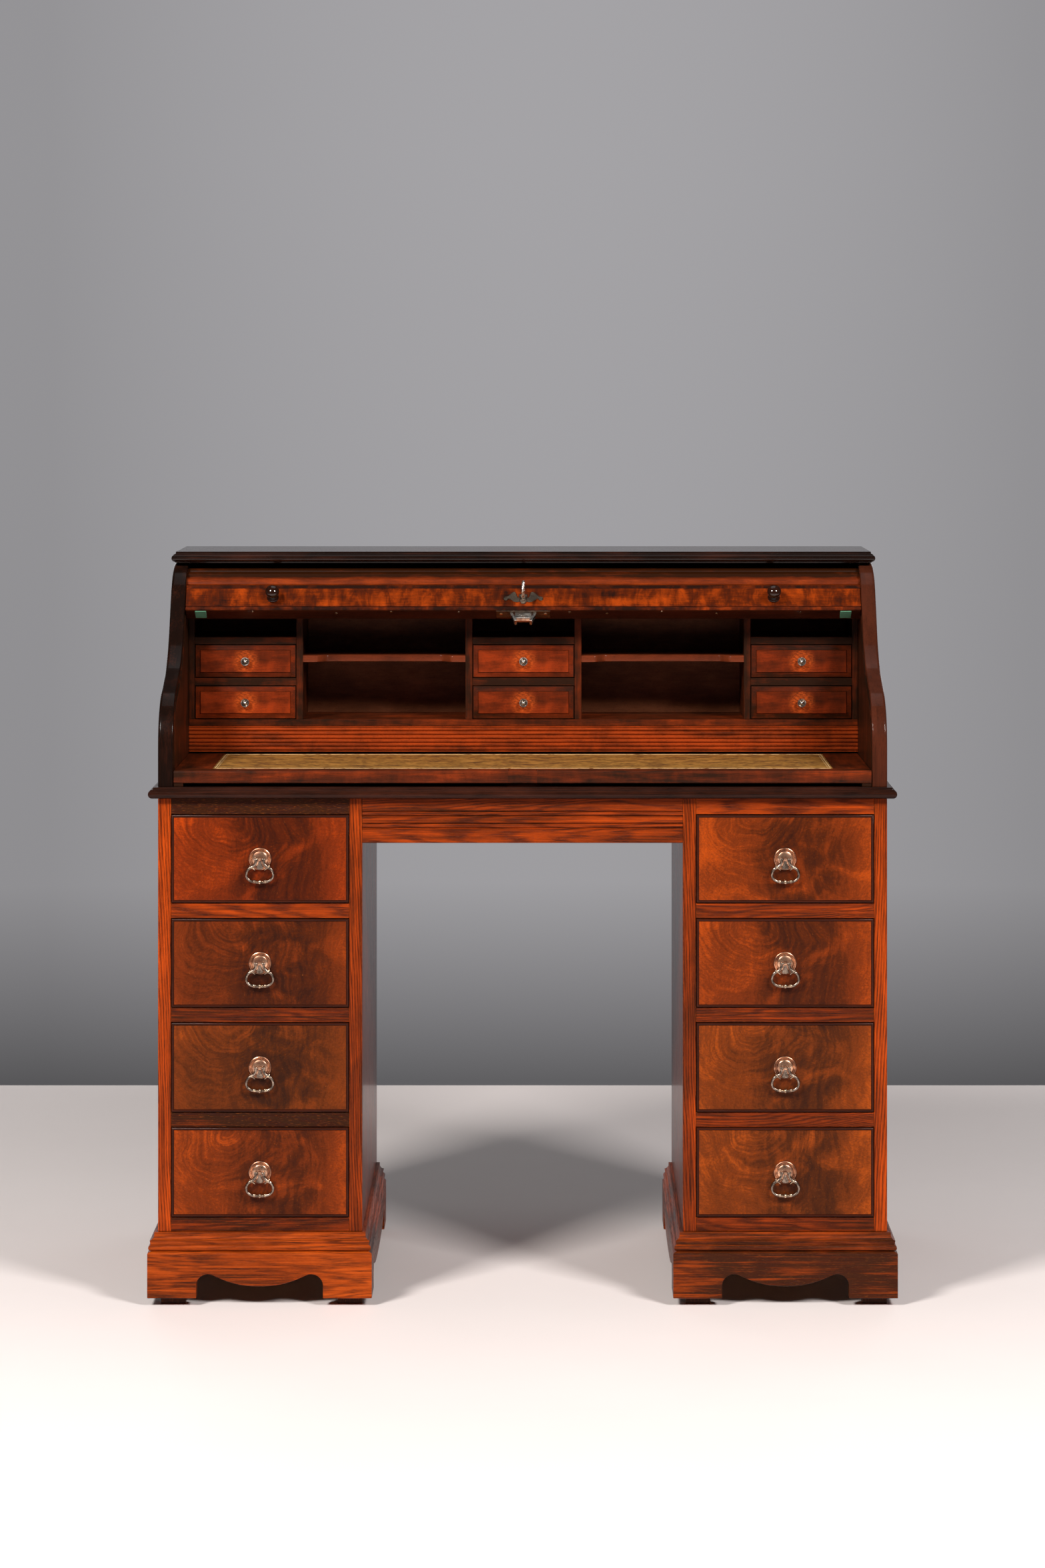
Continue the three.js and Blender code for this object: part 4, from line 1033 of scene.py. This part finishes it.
def bail(word, row):
    """A wire loop with turned ends, spurs and collars, and five beads along its foot."""
    name = f"bail_{word}_{row}"
    x, d, _ = map(middle_of, spans(name))
    z = spans(f"rose_{word}_{row}")[2][1] - ROSE_BELOW_TOP
    piece = Piece(f"{name}_loop", GUNMETAL, GILT)
    half = [(5.8, -1.2), (5.9, -4.0), (7.2, -7.2), (9.6, -10.1), (12.6, -12.3), (16.2, -14.1),
            (19.0, -17.8), (20.1, -22.5), (19.0, -27.4), (15.6, -31.2), (10.5, -33.6),
            (4.0, -34.4)]
    line = [(u, 0, v) for u, v in half + mirrored(half)]

    def girth(t):
        return 1.95 + 0.3 * math.exp(-((abs(t - 0.5) - 0.3) / 0.07) ** 2)

    piece.tube([Vector((x + p.x, d, z + p.z)) for p in smooth_path(line, 5)], girth,
               flatten=0.95)
    barrel = [(0, 0), (1.3, 0), (1.7, 0.4), (1.7, 1.4), (1.3, 1.7), (1.3, 2.6), (2.0, 3.0),
              (2.4, 3.7), (2.4, 4.6), (1.7, 5.3), (0, 5.4)]
    collar = [(0.01, -1.7), (1.9, -1.5), (2.4, -0.6), (2.4, 0.6), (1.9, 1.5), (0.01, 1.7)]
    for sign in (-1, 1):
        piece.lathe(barrel, (x + sign * 3.1, d, z), (sign, 0, 0), steps=18)
        for start, end in (((12.2, -12.0), (15.2, -9.4)), ((11.4, -12.4), (7.2, -16.0))):
            spur = [Vector((x + sign * (start[0] + (end[0] - start[0]) * t), d,
                            z + start[1] + (end[1] - start[1]) * t)) for t in (0, 0.35, 0.7, 1)]
            piece.tube(spur, lambda t: 1.5 - 0.7 * t, steps=10, material=1)
        piece.lathe(collar, (x + sign * 12.4, d, z - 12.2), (sign * 0.86, 0, -0.5), steps=16,
                    material=1)
    piece.lathe([(0, 0), (1.0, 0), (1.0, 8), (0, 8)], (x - 4, d, z), (1, 0, 0), steps=12)
    for along, radius, length in ((-8.2, 3.0, 3.2), (8.2, 3.0, 3.2), (0, 3.8, 2.9),
                                  (-4.1, 2.5, 0.9), (4.1, 2.5, 0.9)):
        bulb = [(radius * math.sin(a) + 0.01, -length * math.cos(a))
                for a in (math.pi * k / 10 for k in range(11))]
        drop = -34.0 + 0.01 * along * along
        piece.lathe(bulb, (x + along, d, z + drop), (1, 0, 0.04 * along), steps=18, material=1)
    piece.done(name, [name], sharp=60)


def small_drawer(word):
    """A fielded front on a pale tray, and its dished knob."""
    name = f"small_drawer_{word}"
    x, (_, end), z = spans(name)
    face = spans("gallery")[1][0] - 2.5
    middle = (middle_of(x), face, middle_of(z))
    tone = SMALL_TONES[word]
    piece = Piece(f"{name}_box", FRONT_WOOD, TRAY_WOOD, BACK_BOARD)
    rim = [(0.2, 14), (0.2, 4.4), (0.6, 3.6), (1.3, 3.3)]
    slope = [(1.3, 3.3), (8.2, 1.5)]
    field = [(8.7, 3.0), (8.6, 1.35), (8.7, 0.5), (9.1, 0.1), (9.9, 0), (9.91, 0)]
    piece.loft(front_rings(x, z, face, rim), closed=False, tone=tone - 0.5)
    piece.loft(front_rings(x, z, face, slope), closed=False, tone=tone - 0.16)
    piece.loft(front_rings(x, z, face, field), centre=at(*middle), wander=0, tone=tone)
    piece.board((x[0] + 0.6, x[1] - 0.6), (face + 4.6, face + SMALL_FRONT_THICKNESS),
                (z[0] + 0.6, z[1] - 0.6), material=2)
    height = z[1] - z[0] - SMALL_TRAY_GAP
    foot = middle_of(z) - 1 - height / 2
    tray(piece, (x[0] + 1.4, x[1] - 1.4), (face + SMALL_FRONT_THICKNESS - 0.5, end),
         (foot, foot + height), SMALL_TRAY_SIDE, 1)
    piece.done(name, [name], sharp=30)
    knob = Piece(f"{name}_knob", NICKEL, GUNMETAL)
    stem = [(0, -1), (4.4, -1), (4.4, 0.5), (3.1, 1.4), (2.5, 3.2), (3.6, 4.8), (6.2, 5.8),
            (6.9, 6.9), (6.8, 8.1), (6.3, 8.7), (5.8, 8.6), (5.5, 7.9)]
    dish = [(5.5, 7.9), (5.3, 6.9), (4.6, 6.6), (3.4, 6.8), (2.8, 7.3)]
    button = [(2.8, 7.3), (2.7, 9.2), (2.2, 10.1), (1.2, 10.6), (0.01, 10.7)]
    for profile, metal in ((stem, 0), (dish, 1), (button, 0)):
        knob.lathe(profile, middle, (0, -1, 0), steps=36, closed=False, material=metal)
    bmesh.ops.remove_doubles(knob.bm, verts=knob.bm.verts, dist=0.02 * MM)
    knob.done(name, sharp=50)


# ---- lead rail, lock and key ---------------------------------

LEAD_HALF = 523.7
LEAD_DEPTH = 27
LOCK_PLATE_HALF = 42
KEYHOLE_HEIGHT = 20.5
RAIL_KNOB_X = 389
RAIL_KNOB_HEIGHT = 22
PAD_X = (492, 509)
PAD_OUT = (-22, -3)
FOOT_SCREWS = (-420, -290, -205, -100, 72, 130, 215, 300, 430)
CATCH_SCREW_X = 34.5
KEY_JOINT = next(j for j in frame["joints"] if j["name"] == "key_turn")
OUTWARD = Vector(KEY_JOINT["axis"])
UPWARD = Vector((0, OUTWARD.z, -OUTWARD.y))
KEYHOLE = Vector(KEY_JOINT["pos_m"])


def on_lead(x, out, up):
    """A desk point from the lead rail's own axes: out from its face, up from its foot."""
    p = KEYHOLE + OUTWARD * (out * MM) + UPWARD * ((up - KEYHOLE_HEIGHT) * MM)
    return (x, (p.y - FRONT_PLANE) / MM, p.z / MM)


def lead_rings(outline, sections):
    """Rings of an (x, out) outline for each (up, inset) of sections."""
    return [[on_lead(x, out, up) for x, out in rectangle(*outline, inset)]
            for up, inset in sections]


def lead_rail():
    """A strip, a field and a bead, one above the other, each with its own stain."""
    piece = Piece("lead_rail_board", RAIL_WOOD, BEAD)
    strip = [(-4.0, 46.1), (-1.9, 45.6), (-0.6, 44.9), (0.1, 43.8), (0.1, 40.2), (-0.7, 39.4),
             (-0.9, 38.9)]
    field = [(-0.9, 38.9), (0, 38.4), (0, 7.9), (-0.5, 7.2), (-1.6, 6.6)]
    bead = [(-1.6, 6.6), (-1.8, 6.0), (-0.9, 5.2), (0, 4.2), (0.3, 2.9), (0.1, 1.5),
            (-0.8, 0.5), (-1.9, 0.1)]
    for points, tone in ((strip, 0.15), (field, 0.46), (bead, 0.3)):
        outline = [(-LEAD_DEPTH, points[0][1]), *points, (-LEAD_DEPTH, points[-1][1])]
        piece.loft([[on_lead(x, *point) for point in outline] for x in (-LEAD_HALF, LEAD_HALF)],
                   tone=tone)
    piece.done("roll_lead", ["lead_rail"], sharp=32)


def lead_foot():
    """The rail's foot, stained nearly black, with its screws and the two felt pads."""
    foot = Piece("lead_rail_foot", BEAD, GUNMETAL)
    for x0, x1 in ((-LEAD_HALF + 0.4, -LOCK_PLATE_HALF - 0.6),
                   (LOCK_PLATE_HALF + 0.6, LEAD_HALF - 0.4)):
        points = [on_lead(x, out, up) for x in (x0, x1) for out, up in (
            (-26.5, 0.2), (-2.2, 0.2), (-2.2, -0.35), (-26.5, -0.35))]
        foot.mesh(points, [(0, 1, 2, 3), (7, 6, 5, 4), (0, 4, 5, 1), (1, 5, 6, 2),
                           (2, 6, 7, 3), (3, 7, 4, 0)])
    for x in FOOT_SCREWS:
        foot.lathe([(0, -0.2), (2.2, -0.2), (2.1, 0.3), (1.2, 0.7), (0.01, 0.8)],
                   on_lead(x, -8 + 3 * math.sin(x), -0.35), tuple(-UPWARD), steps=16,
                   material=1)
    foot.done("roll_lead", sharp=40)
    for side, word in SIDES:
        pad = Piece(f"felt_pad_{word}", FELT)
        outline = (sorted(side * x for x in PAD_X), PAD_OUT)
        pad.loft(lead_rings(outline, ((-0.3, 0), (-1.6, 0), (-2.0, 0.5))))
        pad.done("roll_lead")


def rail_knobs():
    """Two turned knobs on the lead rail."""
    profile = [(0, 0), (9.3, 0), (9.5, 0.8), (9.3, 2.0), (8.4, 3.0), (6.6, 3.9), (6.2, 4.8),
               (6.9, 5.6), (7.0, 6.3), (5.6, 7.2), (4.8, 8.6), (4.9, 10.2), (6.2, 11.6),
               (8.6, 13.0), (10.3, 14.9), (11.0, 17.2), (10.7, 19.6), (9.5, 22.0), (7.4, 24.0),
               (4.6, 25.4), (2.0, 26.0), (0.01, 26.1)]
    for side, word in SIDES:
        piece = Piece(f"rail_knob_{word}_turning", EBONY)
        piece.lathe(profile, on_lead(side * RAIL_KNOB_X, 0.2, RAIL_KNOB_HEIGHT), tuple(OUTWARD),
                    steps=48)
        piece.done("roll_lead", [f"rail_knob_{word}"], sharp=60)


def shrunk(points, amount):
    """A closed outline moved inwards along its own normals."""
    moved = []
    for i, (u, v) in enumerate(points):
        a, b = Vector(points[i - 1]), Vector(points[(i + 1) % len(points)])
        normal = Vector((a.y - b.y, b.x - a.x))
        normal = normal.normalized() if normal.length > 1e-6 else Vector((0, 0))
        moved.append((u + normal.x * amount, v + normal.y * amount))
    return moved


def escutcheon():
    """Two wings folded out from a keyhole, over a lobed base, with bright rims."""
    wing = [(5.4, -2.0), (7.0, 0.2), (9.4, 1.2), (10.8, 4.4), (12.0, 8.0), (14.0, 10.6),
            (17.6, 8.4), (21.6, 4.8), (25.0, 2.4), (27.6, 1.9), (29.6, 0.6), (29.8, -2.0),
            (27.8, -3.4), (25.2, -2.6), (23.2, -0.2), (20.6, -0.6), (17.6, -3.0), (13.8, -5.4),
            (9.4, -6.4), (6.4, -5.4)]
    base = [(0, -10.4), (3.0, -9.6), (4.6, -7.4), (6.6, -6.0), (5.8, -2.6), (5.2, 0.4),
            (6.6, 3.2), (6.4, 6.2), (3.8, 7.0), (1.6, 8.2), (0, 8.8)]
    piece = Piece("escutcheon_wings", BRONZE, GUNMETAL)
    rim = ((0.1, 0), (1.3, 0), (1.8, 0.25), (1.8, 0.6))
    dish = ((0.1, 0.5), (1.8, 0.6), (1.2, 1.0))
    for shape in (wing, mirrored(wing), base + mirrored(base[1:-1])):
        smooth = smooth_path([(u, 0, v) for u, v in [*shape, shape[0]]], 3)[:-1]
        outline = [(p.x, p.z) for p in smooth]
        for profile, closed, metal in ((rim, False, 1), (dish, True, 0)):
            piece.loft([[on_lead(u, out, KEYHOLE_HEIGHT + v) for u, v in shrunk(outline, amount)]
                        for out, amount in profile], closed=closed, material=metal)
    collar = [(3.1, 0.4), (4.9, 0.4), (4.9, 2.0), (4.4, 2.6), (3.6, 2.6), (3.1, 2.0), (3.1, 0.4)]
    piece.lathe(collar, on_lead(0, 0, KEYHOLE_HEIGHT), tuple(OUTWARD), steps=28, closed=False,
                material=1)
    piece.done("roll_lead", ["escutcheon"], sharp=40)


def lead_block(piece, x, out, up, bevel, material=0):
    """A bevelled block in the lead rail's own axes."""
    low, high = up
    piece.loft(lead_rings((sorted(x), out), (
        (low, bevel), (low + bevel, 0), (high - bevel, 0), (high, bevel))), material=material)


def lock_catch():
    """A let-in plate, the bolt's block below it and a silver claw at each side."""
    piece = Piece("lock_plate", BRONZE, NICKEL, COPPER)
    bolt = (-12.9, 12.9)
    lead_block(piece, (-LOCK_PLATE_HALF, LOCK_PLATE_HALF), (-23, -3), (-0.5, 1.2), 0.4)
    lead_block(piece, bolt, (-16.6, -9), (-9.4, 0), 0.5, 1)
    lead_block(piece, bolt, (-16.6, -8.6), (-13.5, -9.4), 1.6, 2)
    claw = ((0.2, 16.4, 20.6), (-4, 14.6, 19), (-10, 11.4, 15.6), (-15.4, 9.8, 13.8),
            (-16.2, 10.4, 13.2))
    screw = [(0, 0), (2.6, 0), (2.5, 0.2), (1.4, 0.4), (0.01, 0.45)]
    for side, _ in SIDES:
        piece.loft([[on_lead(x, out, up) for x, out in (
            (side * near, -18), (side * far, -18), (side * far, -8), (side * near, -8))]
            for up, near, far in claw], material=1)
        piece.lathe(screw, on_lead(side * CATCH_SCREW_X, -12, -0.5), tuple(-UPWARD), steps=20,
                    material=1)
        lead_block(piece, (side * 9.8, side * 13.6), (-12, -4.7), (-16.2, -14), 0.5, 1)
    piece.done("roll_lead", ["lock_catch"], sharp=40)


def twisted_strand(piece, start, count=72, twists=5, out=34.2, radius=7.6, apart=1.25,
                   girth=1.4):
    """One of the two strands of the key's bow; start is its angle round the other one."""
    centres = []
    for a in (2 * math.pi * k / count for k in range(count)):
        twist = twists * a + start
        reach = radius + apart * math.cos(twist)
        centres.append(Vector(on_lead(apart * math.sin(twist), out - reach * math.cos(a),
                                      KEYHOLE_HEIGHT + reach * math.sin(a))))
    rings = []
    for k in range(count + 1):
        here = centres[k % count]
        ahead = (centres[(k + 1) % count] - centres[k - 1]).normalized()
        side = ahead.cross(Vector((1, 0, 0))).normalized()
        other = ahead.cross(side)
        rings.append([tuple(here + (side * math.cos(t) + other * math.sin(t)) * girth)
                      for t in (2 * math.pi * n / 10 for n in range(10))])
    piece.loft(rings, closed=False)


def key():
    """The key's pipe and neck and a bow of two twisted strands that stands edge on."""
    piece = Piece("key_body", NICKEL)
    shank = [(0, -12), (2.1, -12), (2.1, 2), (2.6, 2.6), (2.6, 5.4), (3.2, 6.0), (3.4, 7.0),
             (3.2, 8.0), (2.6, 8.6), (2.6, 12.4), (1.9, 13.2), (1.4, 14.4), (1.3, 22.0),
             (2.3, 23.0), (2.5, 24.2), (2.2, 25.4), (1.2, 26.4), (0.01, 26.6)]
    piece.lathe(shank, on_lead(0, 0, KEYHOLE_HEIGHT), tuple(OUTWARD), steps=24)
    for start in (0.0, math.pi):
        twisted_strand(piece, start)
    bmesh.ops.remove_doubles(piece.bm, verts=piece.bm.verts, dist=0.01 * MM)
    piece.done("key", ["key"], sharp=60)


# ---- CAD nodes that stay -------------------------------------


def keep(name, material, width):
    """A CAD node keeps its shape, with eased edges and a new finish; returns the modifier."""
    node = frame["nodes"][name]
    node.data.materials.clear()
    node.data.materials.append(material)
    ease = node.modifiers.new("ease", "BEVEL")
    ease.width = width * MM
    ease.segments = 2
    return ease


def keep_slats():
    """Only the slats' sharp arrises are eased."""
    for name in frame["nodes"]:
        if name.startswith("tambour_"):
            ease = keep(name, SLAT_WOOD, 0.5)
            ease.limit_method = "ANGLE"
            ease.angle_limit = math.radians(35)
            ease.harden_normals = True


# ---- stage ---------------------------------------------------

# metres and watts: the place, size, power and colour of each lamp
LAMPS = {
    "key_lamp": ((-2.5, -3.65, 3.8), 1.1, 275, (1.0, 0.97, 0.93)),
    "fill_lamp": ((2.7, -3.55, 3.5), 1.1, 225, (1.0, 0.98, 0.96)),
    "top_lamp": ((0.0, 0.4, 3.4), 1.8, 9, (0.98, 0.99, 1.0)),
    "back_lamp_left": ((-1.7, 3.4, 1.5), 1.6, 12, (0.97, 0.98, 1.0)),
    "back_lamp_right": ((1.9, 3.4, 1.5), 1.6, 12, (0.97, 0.98, 1.0)),
}
LAMP_TARGET = Vector((0, 0, 0.6))
FLOOR_X = (-4, 4)
FLOOR_Y = (-8, 1.673)
FLOOR_CLOUD = 1000 / 1.3
EYE = (30, -6400, 1406.6)
LENS = 97.96
SENSOR = 36
SHIFT = (-0.0128, -0.2662)


def place(name, data):
    """A new object in the scene that holds the given data."""
    made = bpy.data.objects.new(name, data)
    bpy.context.scene.collection.objects.link(made)
    return made


def studio_floor():
    """A pale, faintly clouded floor that ends behind the desk."""
    mesh = bpy.data.meshes.new("floor")
    mesh.from_pydata([(x, y, 0) for x, y in rectangle(FLOOR_X, FLOOR_Y)], [], [(0, 1, 2, 3)])
    s = Look("pale_floor", roughness=0.6)
    cloud = s.noise(s.coords("object"), (FLOOR_CLOUD,) * 3, 5, 0.6)
    s.feed(s.surface["Base Color"], s.mix(cloud, (0.86, 0.78, 0.76), (0.93, 0.85, 0.83)))
    mesh.materials.append(s.material)
    place("floor", mesh)


def studio_world():
    """Dim in front, a grey wall behind, and as pale as the floor well below the horizon."""
    world = bpy.data.worlds.new("studio")
    bpy.context.scene.world = world
    world.use_nodes = True
    s = Nodes(world.node_tree)
    x, y, z = s.split(s.wire("ShaderNodeTexCoord", "Generated"))
    wall = s.band(y, -0.4, 0.7, 0.06, 0.35, "LINEAR")
    for axis, stops in ((z, (-0.165, -0.12, 0.38, 1.1)), (z, (-0.12, 0.05, 0.82, 0.9)),
                        (z, (0.12, 0.3, 1.0, 0.2)), (x * x, (0.0, 0.013, 1.1, 0.88))):
        wall = wall * s.band(axis, *stops, "LINEAR")
    backdrop = s.tree.nodes["Background"].inputs
    backdrop["Color"].default_value = (0.98, 0.96, 1.0, 1)
    s.feed(backdrop["Strength"], wall + s.band(z, -0.19, -0.21, 0.0, 0.5, "LINEAR"))


def studio_lamps():
    """Square lamps turned towards the middle of the desk."""
    for name, (spot, size, power, colour) in LAMPS.items():
        lamp = bpy.data.lights.new(name, "AREA")
        lamp.size = size
        lamp.energy = power
        lamp.color = colour
        made = place(name, lamp)
        made.location = spot
        made.rotation_euler = (LAMP_TARGET - Vector(spot)).to_track_quat("-Z", "Y").to_euler()
        made.visible_camera = False


def studio_camera():
    """The camera stands well back, looks level over the desk, and is shifted down onto it."""
    camera = bpy.data.cameras.new("camera")
    camera.lens = LENS
    camera.sensor_width = SENSOR
    camera.shift_x, camera.shift_y = SHIFT
    eye = place("camera", camera)
    eye.location = at(*EYE)
    eye.rotation_euler = Euler((math.radians(90), 0, 0))
    bpy.context.scene.camera = eye
    bpy.context.scene.view_settings.view_transform = "Standard"


# ---- build ---------------------------------------------------

for side, word in SIDES:
    plinth(word)
    pedestal(side, word)
    cheek(side, word)
    for row in (1, 2, 3, 4):
        pedestal_drawer(word, row)
        rose(word, row)
        bail(word, row)
apron()
moulded_board("worktop", "worktop_board", BLACK, 0.4, worktop_edge)
moulded_board("top_board", "top_board_slab", TOP_BLACK, 0.25, top_board_edge)
for build in (gallery, fascia, writing_slide, leather):
    build()
for word in SMALL_TONES:
    small_drawer(word)
for build in (lead_rail, lead_foot, rail_knobs, escutcheon, lock_catch, key, keep_slats):
    build()
keep("case_back", BACK_BOARD, 0.8)
for build in (studio_floor, studio_world, studio_lamps, studio_camera):
    build()
